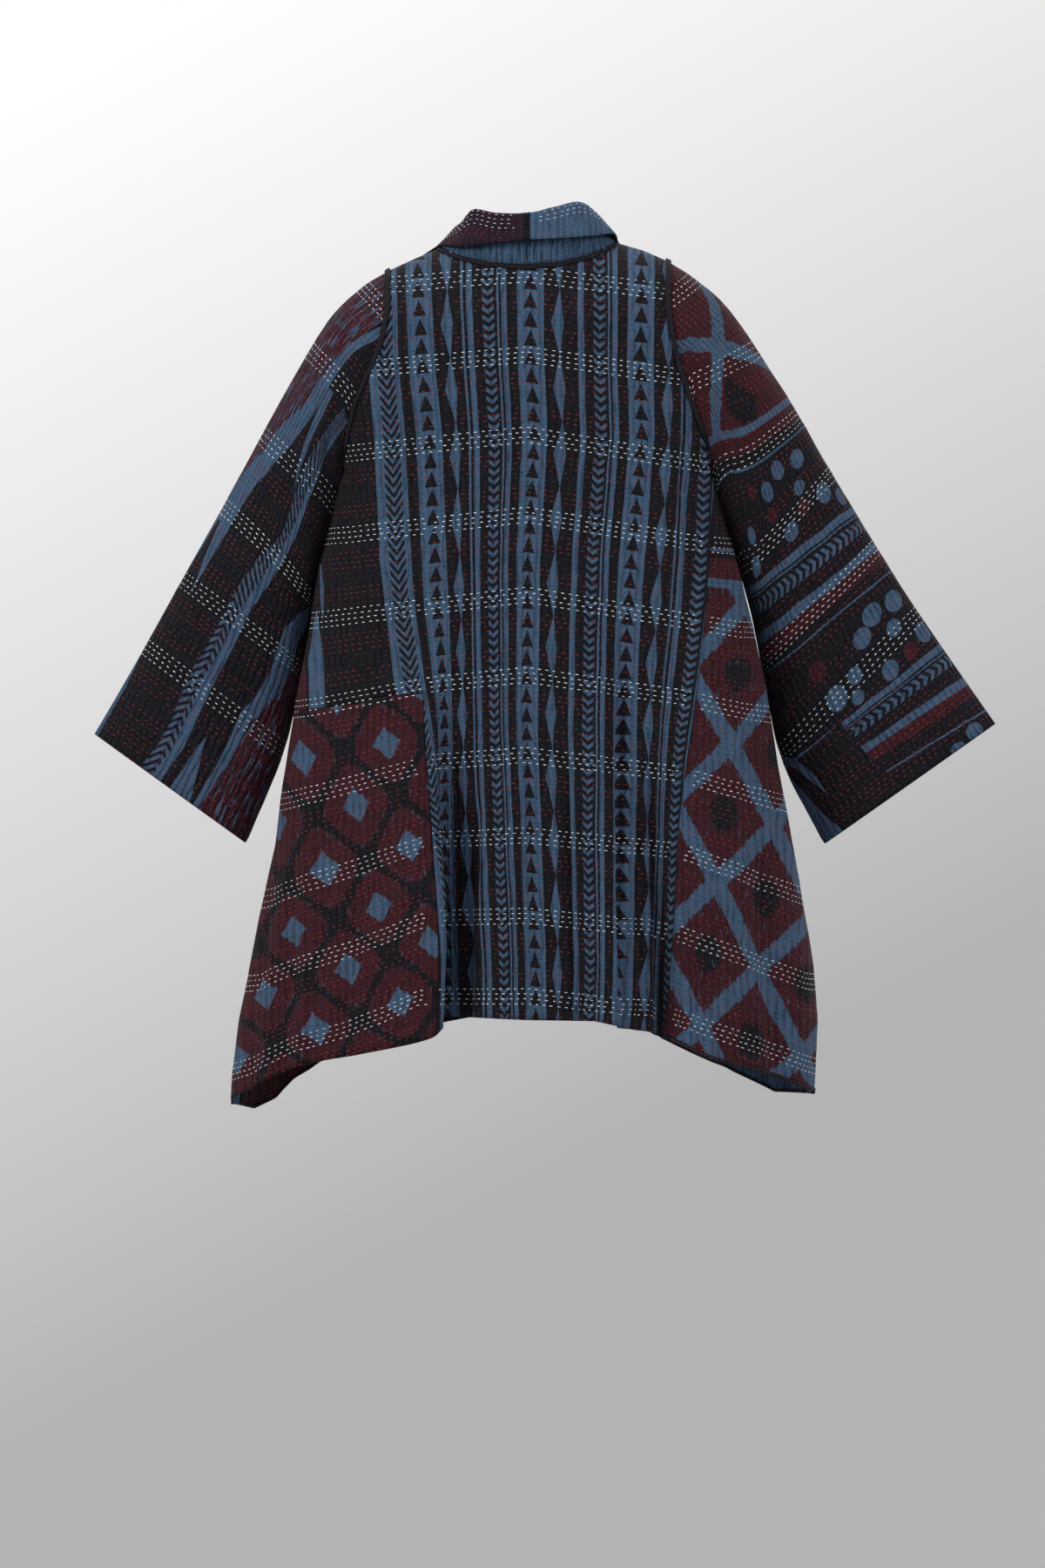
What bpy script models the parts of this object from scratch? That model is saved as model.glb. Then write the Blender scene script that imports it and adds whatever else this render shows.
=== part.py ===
import math

import bpy
import numpy as np

# Kantha jacket, worn shape with nobody in it. Metres, +Z up, back of the garment
# towards -Y, wearer's right towards +X, origin between the shoulders at the neck base.

WALL = 0.0018
RAISED = 0.0012
SEAM_HALF_GAP = 0.0003
LEVEL_TOP = -0.10
LEVEL_LOW = -0.94
UNDERARM_Z = -0.235
RING_POWER = 2.4
U_STEP = 0.002
LEVEL_STEP = 0.01

# z, left half width, right half width, back depth, front depth
BODY_SECTIONS = [
    (-0.100, 0.2130, 0.2150, 0.094, 0.100),
    (-0.160, 0.2110, 0.2140, 0.100, 0.104),
    (-0.200, 0.2060, 0.2090, 0.101, 0.105),
    (-0.235, 0.2010, 0.2030, 0.102, 0.106),
    (-0.290, 0.2120, 0.2140, 0.104, 0.108),
    (-0.340, 0.2235, 0.2275, 0.107, 0.111),
    (-0.395, 0.2310, 0.2410, 0.111, 0.116),
    (-0.460, 0.2440, 0.2555, 0.116, 0.121),
    (-0.550, 0.2585, 0.2695, 0.124, 0.130),
    (-0.630, 0.2710, 0.2840, 0.131, 0.138),
    (-0.700, 0.2860, 0.2970, 0.137, 0.145),
    (-0.760, 0.2970, 0.3060, 0.141, 0.149),
    (-0.820, 0.3080, 0.3110, 0.145, 0.152),
    (-0.880, 0.3150, 0.3080, 0.147, 0.153),
    (-0.940, 0.3180, 0.3040, 0.148, 0.153),
]

# x, z of the shoulder line, carried over the neck opening
SHOULDER_LINE = [
    (-0.230, -0.0620),
    (-0.180, -0.0325),
    (-0.1525, -0.0195),
    (-0.120, -0.0045),
    (-0.096, 0.0055),
    (-0.050, 0.0190),
    (0.000, 0.0220),
    (0.050, 0.0215),
    (0.098, 0.0120),
    (0.1255, 0.0040),
    (0.155, -0.0090),
    (0.196, -0.0325),
    (0.230, -0.0600),
]

# x, z of the back neck seam
NECK_SEAM = [
    (-0.0960, 0.0050),
    (-0.0700, -0.0037),
    (-0.0420, -0.0102),
    (-0.0050, -0.0130),
    (0.0330, -0.0102),
    (0.0700, -0.0019),
    (0.0980, 0.0115),
]

# z, x of the left armhole, x of the right armhole
ARMHOLES = [
    (0.0100, -0.1500, 0.1550),
    (-0.0200, -0.1522, 0.1545),
    (-0.0600, -0.1520, 0.1535),
    (-0.0920, -0.1580, 0.1590),
    (-0.1180, -0.1680, 0.1650),
    (-0.1630, -0.1870, 0.1800),
    (-0.2000, -0.1940, 0.1935),
    (-0.2250, -0.1975, 0.1985),
    (-0.2350, -0.1985, 0.2000),
]

# z, half distance between the front edges
FRONT_EDGES = [
    (0.0100, 0.0970),
    (-0.0300, 0.0880),
    (-0.0600, 0.0780),
    (-0.1000, 0.0650),
    (-0.1600, 0.0480),
    (-0.2350, 0.0300),
    (-0.3000, 0.0180),
    (-0.3800, 0.0100),
    (-0.9400, 0.0080),
]

# z, x of the seam between the striped back and the right side panel
RIGHT_SEAM = [
    (-0.2350, 0.2000),
    (-0.3200, 0.1953),
    (-0.4660, 0.1845),
    (-0.5400, 0.1776),
    (-0.6350, 0.1670),
    (-0.7250, 0.1590),
    (-0.8400, 0.1450),
    (-0.9400, 0.1400),
]

# z, x on the plain ring of the line that the lower left patch ends on
PATCH_EDGE = [
    (0.0000, -0.0700),
    (-0.1000, -0.0850),
    (-0.3000, -0.1050),
    (-0.4700, -0.1180),
    (-0.6500, -0.1350),
    (-0.8400, -0.1450),
    (-0.9400, -0.1480),
]

# Lengthwise folds, a row per fold. x is where it stands on the plain ring at the hem,
# near and far its half widths towards and away from the centre back, out how far it
# stands out, lean its shift along +X, start the height where it begins.
# x, near, far, out, lean, start
BACK_FOLDS = [
    (-0.2550, 0.050, 0.050, -0.010, 0.000, -0.45),
    (-0.1520, 0.060, 0.085, 0.030, 0.050, -0.36),
    (-0.0850, 0.055, 0.045, -0.034, -0.006, -0.30),
    (-0.0250, 0.040, 0.040, 0.010, 0.000, -0.34),
    (0.0380, 0.045, 0.045, -0.009, 0.000, -0.40),
    (0.0860, 0.040, 0.045, 0.012, 0.000, -0.36),
    (0.1400, 0.045, 0.045, -0.030, 0.000, -0.28),
    (0.2100, 0.060, 0.060, 0.016, -0.016, -0.34),
    (0.2700, 0.035, 0.030, -0.006, 0.000, -0.50),
]
FRONT_FOLDS = [
    (-0.2400, 0.055, 0.050, -0.014, 0.000, -0.36),
    (-0.1700, 0.050, 0.050, 0.020, 0.004, -0.32),
    (-0.1050, 0.045, 0.045, -0.018, 0.000, -0.34),
    (-0.0500, 0.035, 0.040, 0.008, 0.000, -0.42),
    (0.0550, 0.035, 0.045, 0.009, 0.000, -0.40),
    (0.1150, 0.050, 0.045, -0.018, 0.000, -0.33),
    (0.1800, 0.050, 0.055, 0.021, -0.004, -0.30),
    (0.2450, 0.050, 0.045, -0.013, 0.000, -0.38),
]

# x on the plain ring, z of the hem
HEM_BACK = [
    (-0.330, -0.9070),
    (-0.315, -0.9040),
    (-0.255, -0.8730),
    (-0.200, -0.8560),
    (-0.152, -0.8380),
    (-0.115, -0.8200),
    (-0.080, -0.8150),
    (0.000, -0.8190),
    (0.070, -0.8200),
    (0.126, -0.8320),
    (0.175, -0.8480),
    (0.250, -0.8740),
    (0.312, -0.8980),
]
HEM_FRONT = [
    (-0.330, -0.9080),
    (-0.306, -0.9120),
    (-0.290, -0.9165),
    (-0.266, -0.9050),
    (-0.248, -0.8850),
    (-0.215, -0.8630),
    (-0.120, -0.8300),
    (0.000, -0.8080),
    (0.120, -0.8300),
    (0.200, -0.8660),
    (0.270, -0.8990),
    (0.312, -0.9000),
]
PATCH_TOP = [
    (-0.330, -0.5120),
    (-0.250, -0.5050),
    (-0.217, -0.4930),
    (-0.160, -0.4810),
    (-0.114, -0.4725),
    (0.000, -0.4650),
    (0.150, -0.4720),
    (0.310, -0.4950),
]

SIDE_ANGLE = 98.0
ROWS_TOP, ROWS_ARM, ROWS_MID, ROWS_LOW = 4, 5, 5, 8
COLS_PATCH, COLS_CENTRE, COLS_SIDE, COLS_FRONT = 13, 25, 13, 18
RING_SAMPLES = 1801
SLEEVE_COLS, SLEEVE_ROWS = 26, 13

# Along the sleeve: share of its length, outer x and z, inner x and z, half depth, shift in y
SLEEVE_RIGHT = [
    (0.00, 0.1550, -0.0090, 0.2030, -0.2350, 0.070, 0.000),
    (0.14, 0.2190, -0.0600, 0.2170, -0.2820, 0.071, 0.008),
    (0.30, 0.2750, -0.1450, 0.2310, -0.3400, 0.067, 0.020),
    (0.50, 0.3370, -0.2510, 0.2460, -0.4010, 0.059, 0.031),
    (0.70, 0.3995, -0.3530, 0.2590, -0.4720, 0.050, 0.036),
    (0.85, 0.4520, -0.4300, 0.2740, -0.5450, 0.043, 0.035),
    (1.00, 0.5030, -0.5030, 0.3210, -0.6310, 0.036, 0.030),
]
SLEEVE_LEFT = [
    (0.00, -0.1525, -0.0200, -0.2010, -0.2350, 0.070, 0.000),
    (0.14, -0.2120, -0.0700, -0.2140, -0.2800, 0.071, 0.008),
    (0.30, -0.2570, -0.1520, -0.2250, -0.3380, 0.067, 0.020),
    (0.50, -0.3130, -0.2550, -0.2330, -0.4010, 0.059, 0.031),
    (0.70, -0.3710, -0.3580, -0.2460, -0.4720, 0.050, 0.036),
    (0.85, -0.4180, -0.4400, -0.2640, -0.5430, 0.043, 0.035),
    (1.00, -0.4640, -0.5140, -0.3030, -0.6300, 0.036, 0.030),
]
# Soft creases of the sleeves: share of length, angle round from the outer edge in
# degrees, half width along and round, depth out
SLEEVE_FOLDS = [
    (0.16, 120.0, 0.08, 38.0, -0.0050),
    (0.27, 90.0, 0.07, 46.0, 0.0045),
    (0.42, 115.0, 0.10, 40.0, -0.0040),
    (0.60, 70.0, 0.12, 40.0, 0.0035),
    (0.80, 110.0, 0.10, 42.0, -0.0035),
    (0.18, 240.0, 0.08, 38.0, -0.0050),
    (0.33, 275.0, 0.08, 46.0, 0.0045),
    (0.52, 245.0, 0.10, 40.0, -0.0040),
    (0.74, 280.0, 0.12, 40.0, 0.0035),
]

# Collar from the centre back to the shoulder, right half. Base, fold and fall edge.
# base x, y, z, fold x, y, z, edge x, y, z
COLLAR_BACK_RIGHT = [
    (0.0000, -0.0655, -0.0118, 0.0000, -0.0560, 0.0425, 0.0000, -0.0735, 0.0145),
    (0.0330, -0.0610, -0.0090, 0.0300, -0.0530, 0.0490, 0.0340, -0.0690, 0.0160),
    (0.0680, -0.0440, -0.0010, 0.0560, -0.0370, 0.0550, 0.0710, -0.0520, 0.0190),
    (0.0900, -0.0200, 0.0115, 0.0710, -0.0150, 0.0450, 0.0940, -0.0230, 0.0215),
    (0.0945, 0.0000, 0.0150, 0.0800, 0.0040, 0.0370, 0.0995, 0.0040, 0.0205),
]
COLLAR_BACK_LEFT = [
    (0.0000, -0.0655, -0.0118, 0.0000, -0.0560, 0.0425, 0.0000, -0.0735, 0.0145),
    (-0.0330, -0.0610, -0.0095, -0.0330, -0.0530, 0.0430, -0.0340, -0.0690, 0.0110),
    (-0.0680, -0.0440, -0.0030, -0.0560, -0.0370, 0.0475, -0.0700, -0.0520, 0.0080),
    (-0.0870, -0.0200, 0.0060, -0.0680, -0.0150, 0.0340, -0.0890, -0.0230, 0.0100),
    (-0.0920, 0.0000, 0.0095, -0.0760, 0.0040, 0.0270, -0.0970, 0.0040, 0.0130),
]
# Along the front edge: z, width of the turned lapel, its roll towards the centre, its lift
LAPEL = [
    (-0.0050, 0.026, 0.011, 0.0110),
    (-0.0300, 0.042, 0.010, 0.0100),
    (-0.0900, 0.056, 0.008, 0.0080),
    (-0.1700, 0.060, 0.006, 0.0070),
    (-0.2500, 0.048, 0.005, 0.0065),
    (-0.3200, 0.030, 0.004, 0.0060),
    (-0.3700, 0.014, 0.003, 0.0055),
]
COLLAR_COLS = 24
FOLD_ROUND = 0.0030
BINDING_LIFT = 0.0011
INSIDE_LIFT = 0.0004
BINDING_WALL = 0.0012
BINDING_WIDTH = 0.0070
BINDING_INSET = 0.0009
SLEEVE_GAP_TOP = 0.0016
SLEEVE_GAP_LOW = 0.0046


def column(rows, x, at=0, get=1):
    """Value of one table column at x, straight between rows."""
    table = sorted((r[at], r[get]) for r in rows)
    return np.interp(x, [r[0] for r in table], [r[1] for r in table])


def smooth(t):
    t = np.clip(t, 0.0, 1.0)
    return t * t * (3.0 - 2.0 * t)


def plain_ring(z):
    """Angles, and the points of the ring without folds at one height."""
    w_l, w_r, d_b, d_f = (column(BODY_SECTIONS, z, 0, k) for k in (1, 2, 3, 4))
    angle = np.radians(np.linspace(-179.9, 179.9, RING_SAMPLES))
    s, c = np.sin(angle), np.cos(angle)
    w = np.where(s < 0, w_l, w_r)
    d = np.where(c > 0, d_b, d_f)
    r = ((np.abs(s) / w) ** RING_POWER + (np.abs(c) / d) ** RING_POWER) ** (-1 / RING_POWER)
    return angle, r * s, -r * c


def folded_ring(z):
    angle, x, y = plain_ring(z)
    wide = column(BODY_SECTIONS, z, 0, 2) / column(BODY_SECTIONS, -0.82, 0, 2)
    facing = np.where(np.cos(angle) > 0, -1.0, 1.0)
    dx, dy = np.zeros_like(x), np.zeros_like(y)
    for folds, side in ((BACK_FOLDS, -1.0), (FRONT_FOLDS, 1.0)):
        for at, near, far, out, lean, start in folds:
            grow = smooth((start - z) / (start + 0.80))
            inward = (x - at * wide) * -np.sign(at)
            half = np.where(inward > 0, near, far) * (0.55 + 0.45 * wide)
            bump = np.cos(np.clip(inward / half, -1, 1) * math.pi / 2) ** 2
            bump = np.where(facing == side, bump, 0.0) * grow
            dx += lean * bump
            dy += side * out * bump
    fade = smooth(np.abs(np.cos(angle)) / 0.25)
    return angle, x, y, x + dx * fade, y + dy * fade


LEVELS = np.arange(LEVEL_TOP, LEVEL_LOW - LEVEL_STEP / 2, -LEVEL_STEP)
RINGS = []
for level in LEVELS:
    ring_angle, bare_x, bare_y, ring_x, ring_y = folded_ring(level)
    step = np.hypot(np.diff(ring_x), np.diff(ring_y))
    along = np.concatenate([[0.0], np.cumsum(step)])
    along -= np.interp(0.0, ring_angle, along)
    RINGS.append((along, ring_angle, bare_x, ring_x, ring_y))
U_MAX = max(-r[0][0] for r in RINGS) + 0.01
US = np.arange(-U_MAX, U_MAX, U_STEP)
GRID = np.array(
    [[np.interp(US, r[0], r[3]), np.interp(US, r[0], r[4]), np.interp(US, r[0], r[2])] for r in RINGS]
)


def from_grid(k, u, z):
    """Field k of the rings at arc length u and height z, bilinear."""
    a = np.clip((LEVEL_TOP - np.minimum(z, LEVEL_TOP)) / LEVEL_STEP, 0, len(LEVELS) - 1.001)
    b = np.clip((u + U_MAX) / U_STEP, 0, len(US) - 1.001)
    i, j = a.astype(int), b.astype(int)
    fa, fb = a - i, b - j
    g = GRID[:, k]
    low = g[i, j] * (1 - fb) + g[i, j + 1] * fb
    high = g[i + 1, j] * (1 - fb) + g[i + 1, j + 1] * fb
    return low * (1 - fa) + high * fa


def body_point(u, z):
    u, z = np.asarray(u, float), np.asarray(z, float)
    x, y = from_grid(0, u, z), from_grid(1, u, z)
    top = column(SHOULDER_LINE, x)
    drop = np.clip((top - z) / (top - LEVEL_TOP), 0.0, 1.0)
    return np.stack([x, y * np.sqrt(1 - (1 - drop) ** 2), z], axis=-1)


def level_crossing(k, value, z, front=False):
    """Arc length where field k takes this value on the ring at this height."""
    a = np.clip((LEVEL_TOP - min(z, LEVEL_TOP)) / LEVEL_STEP, 0, len(LEVELS) - 1.001)
    i = int(a)
    found = []
    for n in (i, i + 1):
        r = RINGS[n]
        x = {"bare": r[2], "angle": r[1]}[k]
        half = np.abs(r[1]) >= math.pi / 2 if front else np.abs(r[1]) <= math.pi / 2
        half &= np.sign(r[1]) == np.sign(value)
        order = np.argsort(x[half])
        found.append(np.interp(value, x[half][order], r[0][half][order]))
    return found[0] + (found[1] - found[0]) * (a - i)


def side_u(z, sign):
    r = RINGS[int(np.argmin(np.abs(LEVELS - max(min(z, LEVEL_TOP), LEVEL_LOW))))]
    if z > UNDERARM_Z:
        return 0.0
    angle = 90.0 + (SIDE_ANGLE - 90.0) * float(smooth((UNDERARM_Z - z) / 0.3))
    low = level_crossing("angle", sign * math.radians(min(angle, 89.99)), z)
    high = np.interp(sign * math.radians(angle), r[1], r[0])
    return low + (high - np.interp(sign * math.radians(min(angle, 89.99)), r[1], r[0]))


def armhole_u(z, sign, front):
    x = float(column(ARMHOLES, z, 0, 1 if sign < 0 else 2))
    return level_crossing("bare", x, z, front)


def edge_back(z, sign):
    if z > UNDERARM_Z + 1e-6:
        return armhole_u(z, sign, False)
    return side_u(z, sign)


def edge_front(z, sign):
    if z > UNDERARM_Z + 1e-6:
        return armhole_u(z, sign, True)
    return side_u(z, sign)


def edge_right_seam(z):
    if z > UNDERARM_Z + 1e-6:
        return armhole_u(z, 1, False)
    return level_crossing("bare", float(column(RIGHT_SEAM, z)), z)


def edge_patch(z):
    return level_crossing("bare", float(column(PATCH_EDGE, z)), z)


def front_inner(z, sign):
    return level_crossing("bare", sign * float(column(FRONT_EDGES, z)), z, True)


def hem_height(u, table_back, table_front):
    x = from_grid(2, u, np.full_like(u, -0.85))
    angle = from_grid(1, u, np.full_like(u, -0.85))
    return np.where(angle < 0, column(table_back, x), column(table_front, x))


def row_heights(top, side_low, patch, hem):
    """Heights down one column: rounded over the shoulder, then straight in three parts."""
    zs = []
    start = math.acos(1 - min(1.0, (top[1] - top[0]) / (top[1] - LEVEL_TOP)))
    for n in range(ROWS_TOP):
        t = start + (math.pi / 2 - start) * n / ROWS_TOP
        zs.append(top[1] - (top[1] - LEVEL_TOP) * (1 - math.cos(t)))
    for n in range(ROWS_ARM):
        zs.append(LEVEL_TOP + (side_low - LEVEL_TOP) * n / ROWS_ARM)
    for n in range(ROWS_MID):
        zs.append(side_low + (patch - side_low) * n / ROWS_MID)
    for n in range(ROWS_LOW + 1):
        zs.append(patch + (hem - patch) * n / ROWS_LOW)
    return zs


ROW_UNDERARM = ROWS_TOP + ROWS_ARM
ROW_PATCH = ROW_UNDERARM + ROWS_MID
ROWS_ALL = ROW_PATCH + ROWS_LOW + 1


def panel_grid(left, right, cols, top_z, first_row=0):
    """Arc lengths and heights of a panel's grid between two edge functions of height."""
    zs_line = np.linspace(0.03, LEVEL_LOW, 389)
    left_u = np.array([left(float(h)) for h in zs_line])
    right_u = np.array([right(float(h)) for h in zs_line])

    def between(share, z):
        lo = np.interp(-z, -zs_line, left_u)
        hi = np.interp(-z, -zs_line, right_u)
        return lo + (hi - lo) * share

    share = np.linspace(0, 1, cols + 1)
    top_x = np.zeros(cols + 1)
    for _ in range(4):
        top_line = np.array([top_z(x)[0] for x in top_x])
        top_x = from_grid(0, between(share, top_line), top_line)
    hem = hem_height(between(share, np.full(cols + 1, -0.85)), HEM_BACK, HEM_FRONT)
    patch = hem_height(between(share, np.full(cols + 1, -0.48)), PATCH_TOP, PATCH_TOP)
    z = np.zeros((ROWS_ALL, cols + 1))
    for j in range(cols + 1):
        z[:, j] = row_heights(top_z(top_x[j]), UNDERARM_Z, patch[j], hem[j])
    u = np.array([between(share, z[i]) for i in range(ROWS_ALL)])
    return u[first_row:], z[first_row:]


def surface(u, z):
    """Points and outward normals of the body at a grid of arc lengths and heights."""
    p = body_point(u, z)
    e = 0.003
    du = body_point(u + e, z) - body_point(u - e, z)
    z_up = np.minimum(z + e, column(SHOULDER_LINE, p[..., 0]) - 1e-5)
    dz = body_point(u, z - e) - body_point(u, z_up)
    n = np.cross(dz, du)
    n /= np.maximum(np.linalg.norm(n, axis=-1, keepdims=True), 1e-12)
    return p, n


def ripple(rows, cols, seed, plain_top=1, plain_side=1):
    """Raised quilting: every second column stands out, unevenly."""
    rng = np.random.default_rng(seed)
    lift = np.zeros((rows, cols))
    lift[:, 1::2] = RAISED * (0.65 + 0.35 * rng.random((rows, len(range(1, cols, 2)))))
    lift[:plain_top] = 0
    if plain_side:
        lift[:, :plain_side] = 0
        lift[:, -plain_side:] = 0
    return lift


def material(name, colour):
    m = bpy.data.materials.new(name)
    m.use_nodes = True
    bsdf = next(n for n in m.node_tree.nodes if n.type == "BSDF_PRINCIPLED")
    bsdf.inputs["Base Color"].default_value = (*colour, 1.0)
    bsdf.inputs["Roughness"].default_value = 0.85
    return m


def wall(name, colour, outer, inner, keep=None, closed=False):
    """One closed wall between two grids of points; keep marks the cells that it has."""
    rows, cols = outer.shape[:2]
    wide = cols if closed else cols - 1
    if keep is None:
        keep = np.ones((rows - 1, wide), bool)
    used = {}
    verts, faces = [], []

    def vertex(layer, i, j):
        key = (layer, i, j % cols)
        if key not in used:
            used[key] = len(verts)
            verts.append(tuple((outer, inner)[layer][i, j % cols]))
        return used[key]

    def has(i, j):
        if closed:
            j %= wide
        return 0 <= i < rows - 1 and 0 <= j < wide and keep[i, j]

    for i in range(rows - 1):
        for j in range(wide):
            if not has(i, j):
                continue
            ring = [(i, j), (i + 1, j), (i + 1, j + 1), (i, j + 1)]
            faces.append([vertex(0, *k) for k in ring])
            faces.append([vertex(1, *k) for k in reversed(ring)])
            for (di, dj), a, b in (
                ((-1, 0), 3, 0),
                ((0, -1), 0, 1),
                ((1, 0), 1, 2),
                ((0, 1), 2, 3),
            ):
                if not has(i + di, j + dj):
                    p, q = ring[a], ring[b]
                    faces.append([vertex(0, *q), vertex(0, *p), vertex(1, *p), vertex(1, *q)])
    down = outer[1:, :-1] - outer[:-1, :-1]
    across = outer[:-1, 1:] - outer[:-1, :-1]
    away = outer[:-1, :-1] - inner[:-1, :-1]
    if np.sum(np.cross(down, across) * away) < 0:
        faces = [list(reversed(f)) for f in faces]
    mesh = bpy.data.meshes.new(name)
    mesh.from_pydata(verts, [], faces)
    mesh.materials.append(material(name, colour))
    obj = bpy.data.objects.new(name, mesh)
    HOME.objects.link(obj)
    return obj


def panel_walls(u, z, lift):
    p, n = surface(u, z)
    outer = p + n * (WALL / 2 + lift)[..., None]
    inner = p - n * (WALL / 2)
    return outer, inner, n


def neck_top(x):
    """Height of the neck seam, or of the shoulder line outside it, and the line's height."""
    line = float(column(SHOULDER_LINE, x))
    lo, hi = NECK_SEAM[0][0], NECK_SEAM[-1][0]
    if lo < x < hi:
        return min(float(column(NECK_SEAM, x)), line - 1e-4), line
    return line - 2e-6, line


def shoulder_top(x):
    line = float(column(SHOULDER_LINE, x))
    return line - 2e-6, line


def sleeve_section(table, f):
    f = min(max(f, 0.0), 1.0)
    return [float(column(table, f, 0, k)) for k in range(1, 7)]


def resample(points, n):
    gaps = np.linalg.norm(np.diff(points, axis=0), axis=1)
    s = np.concatenate([[0], np.cumsum(gaps)])
    at = np.linspace(0, s[-1], n)
    return np.stack([np.interp(at, s, points[:, k]) for k in range(3)], axis=1)


def armhole_curve(sign, n):
    """Closed curve round an armhole: top, down the back, underarm, up the front."""
    tip = float(column(ARMHOLES, -0.015, 0, 1 if sign < 0 else 2))
    line = float(column(SHOULDER_LINE, tip))
    turn = np.linspace(0.02, math.pi / 2, 24)
    zs = list(line - (line - LEVEL_TOP) * (1 - np.cos(turn)))
    zs += list(np.linspace(LEVEL_TOP, UNDERARM_Z + 0.002, 24)[1:])
    back = [body_point(edge_back(h, sign), h) for h in zs]
    front = [body_point(edge_front(h, sign), h) for h in zs]
    bottom = body_point(side_u(UNDERARM_Z, sign), UNDERARM_Z)
    half_back = resample(np.array(back + [bottom]), n // 2 + 1)
    half_front = resample(np.array(front + [bottom]), n // 2 + 1)
    return np.concatenate([half_back, half_front[::-1][1:-1]])


def sleeve_point(table, sign, f, turn, start):
    """Point of a sleeve at a share of its length and an angle from its outer edge."""
    ox, oz, ix, iz, deep, shift = sleeve_section(table, f)
    centre = np.array([(ox + ix) / 2, shift, (oz + iz) / 2])
    reach = np.array([(ox - ix) / 2, 0.0, (oz - iz) / 2])
    squash = 1.0 + 0.10 * math.cos(2 * turn)
    p = centre + reach * math.cos(turn) - np.array([0, deep, 0]) * math.sin(turn) * squash
    if f < 0.40:
        ox, oz, ix, iz, deep, shift = sleeve_section(table, 0.0)
        own = np.array([(ox + ix) / 2, shift, (oz + iz) / 2])
        own = own + np.array([(ox - ix) / 2, 0, (oz - iz) / 2]) * math.cos(turn)
        own = own - np.array([0, deep, 0]) * math.sin(turn) * squash
        p = p + (start - own) * (1 - float(smooth(f / 0.40)))
    return p


def sleeve_grid(table, sign, rows, cols):
    start = armhole_curve(sign, cols)
    low = np.clip((LEVEL_TOP - start[:, 2]) / (LEVEL_TOP - UNDERARM_Z), 0, 1)
    start[:, 0] += sign * (SLEEVE_GAP_TOP + (SLEEVE_GAP_LOW - SLEEVE_GAP_TOP) * low**2)
    turns = 2 * math.pi * np.arange(cols) / cols
    shares = np.linspace(0, 1, rows + 1)
    grid = np.array(
        [[sleeve_point(table, sign, f, turns[k], start[k]) for k in range(cols)] for f in shares]
    )
    across = np.roll(grid, -1, axis=1) - np.roll(grid, 1, axis=1)
    down = np.gradient(grid, axis=0)
    normal = np.cross(across, down) * sign
    normal /= np.linalg.norm(normal, axis=2, keepdims=True)
    degrees = np.degrees(turns)
    for at, angle, half, wide, depth in SLEEVE_FOLDS:
        near = np.cos(np.clip((shares - at) / half, -1, 1) * math.pi / 2) ** 2
        gap = (degrees - angle + 180) % 360 - 180
        round_it = np.cos(np.clip(gap / wide, -1, 1) * math.pi / 2) ** 2
        grid = grid + normal * (depth * near[:, None] * round_it[None, :])[..., None]
    return grid, normal


def collar_profile(base, fold, edge):
    """Points across the collar: up the stand, over the fold, down the fall."""
    out = edge - base
    out = out - (fold - base) * np.dot(out, fold - base) / np.dot(fold - base, fold - base)
    out = out / np.linalg.norm(out)
    up = (fold - base) / np.linalg.norm(fold - base)
    small = min(FOLD_ROUND, 0.45 * np.linalg.norm(fold - base))
    stand_end = fold - up * small - out * small * 0.6
    fall_start = fold - up * small + out * small * 1.4
    crown = fold + out * small * 0.4
    knots = [base]
    for t in (0.33, 0.67):
        knots.append(base + (stand_end - base) * t)
    knots += [stand_end, crown, fall_start]
    for t in (0.25, 0.5, 0.75, 1.0):
        knots.append(fall_start + (edge - fall_start) * t)
    return np.array(knots)


def collar_sections(table, sign):
    rows = [tuple(np.array(r[k : k + 3]) for k in (0, 3, 6)) for r in table]
    for z, width, roll, lift in LAPEL:
        u = front_inner(z, sign)
        p, n = surface(np.array(u), np.array(z))
        into = np.array([-sign, 0.0, 0.0])
        base = p + into * 0.0024 + n * 0.0008
        fold = p + into * roll + n * (lift + 0.0040)
        q, m = surface(np.array(u - sign * width), np.array(z - 0.004))
        edge = q + m * (lift - 0.0006)
        rows.append((base, fold, edge))
    return rows


def spline(points, at):
    """Smooth curve through points at shares 0..1 of their chord length."""
    gaps = np.linalg.norm(np.diff(points, axis=0), axis=1)
    s = np.concatenate([[0], np.cumsum(gaps)])
    s /= s[-1]
    slope = np.gradient(points, s, axis=0)
    i = np.clip(np.searchsorted(s, at, side="right") - 1, 0, len(s) - 2)
    h = s[i + 1] - s[i]
    t = (at - s[i]) / h
    h = h[:, None]
    t = t[:, None]
    a = 2 * t**3 - 3 * t**2 + 1
    b = t**3 - 2 * t**2 + t
    c = -2 * t**3 + 3 * t**2
    d = t**3 - t**2
    return a * points[i] + b * h * slope[i] + c * points[i + 1] + d * h * slope[i + 1]


def collar_grid(table, sign):
    rows = collar_sections(table, sign)
    at = np.linspace(0, 1, COLLAR_COLS + 1)
    lines = [spline(np.array([r[k] for r in rows]), at) for k in range(3)]
    lines[0][0, 0] = lines[1][0, 0] = lines[2][0, 0] = sign * SEAM_HALF_GAP
    grid = np.array([collar_profile(lines[0][c], lines[1][c], lines[2][c]) for c in range(len(at))])
    grid = grid.transpose(1, 0, 2)
    down = np.gradient(grid, axis=0)
    across = np.gradient(grid, axis=1)
    normal = np.cross(down, across) * sign
    normal /= np.linalg.norm(normal, axis=2, keepdims=True)
    return grid, normal


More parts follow.
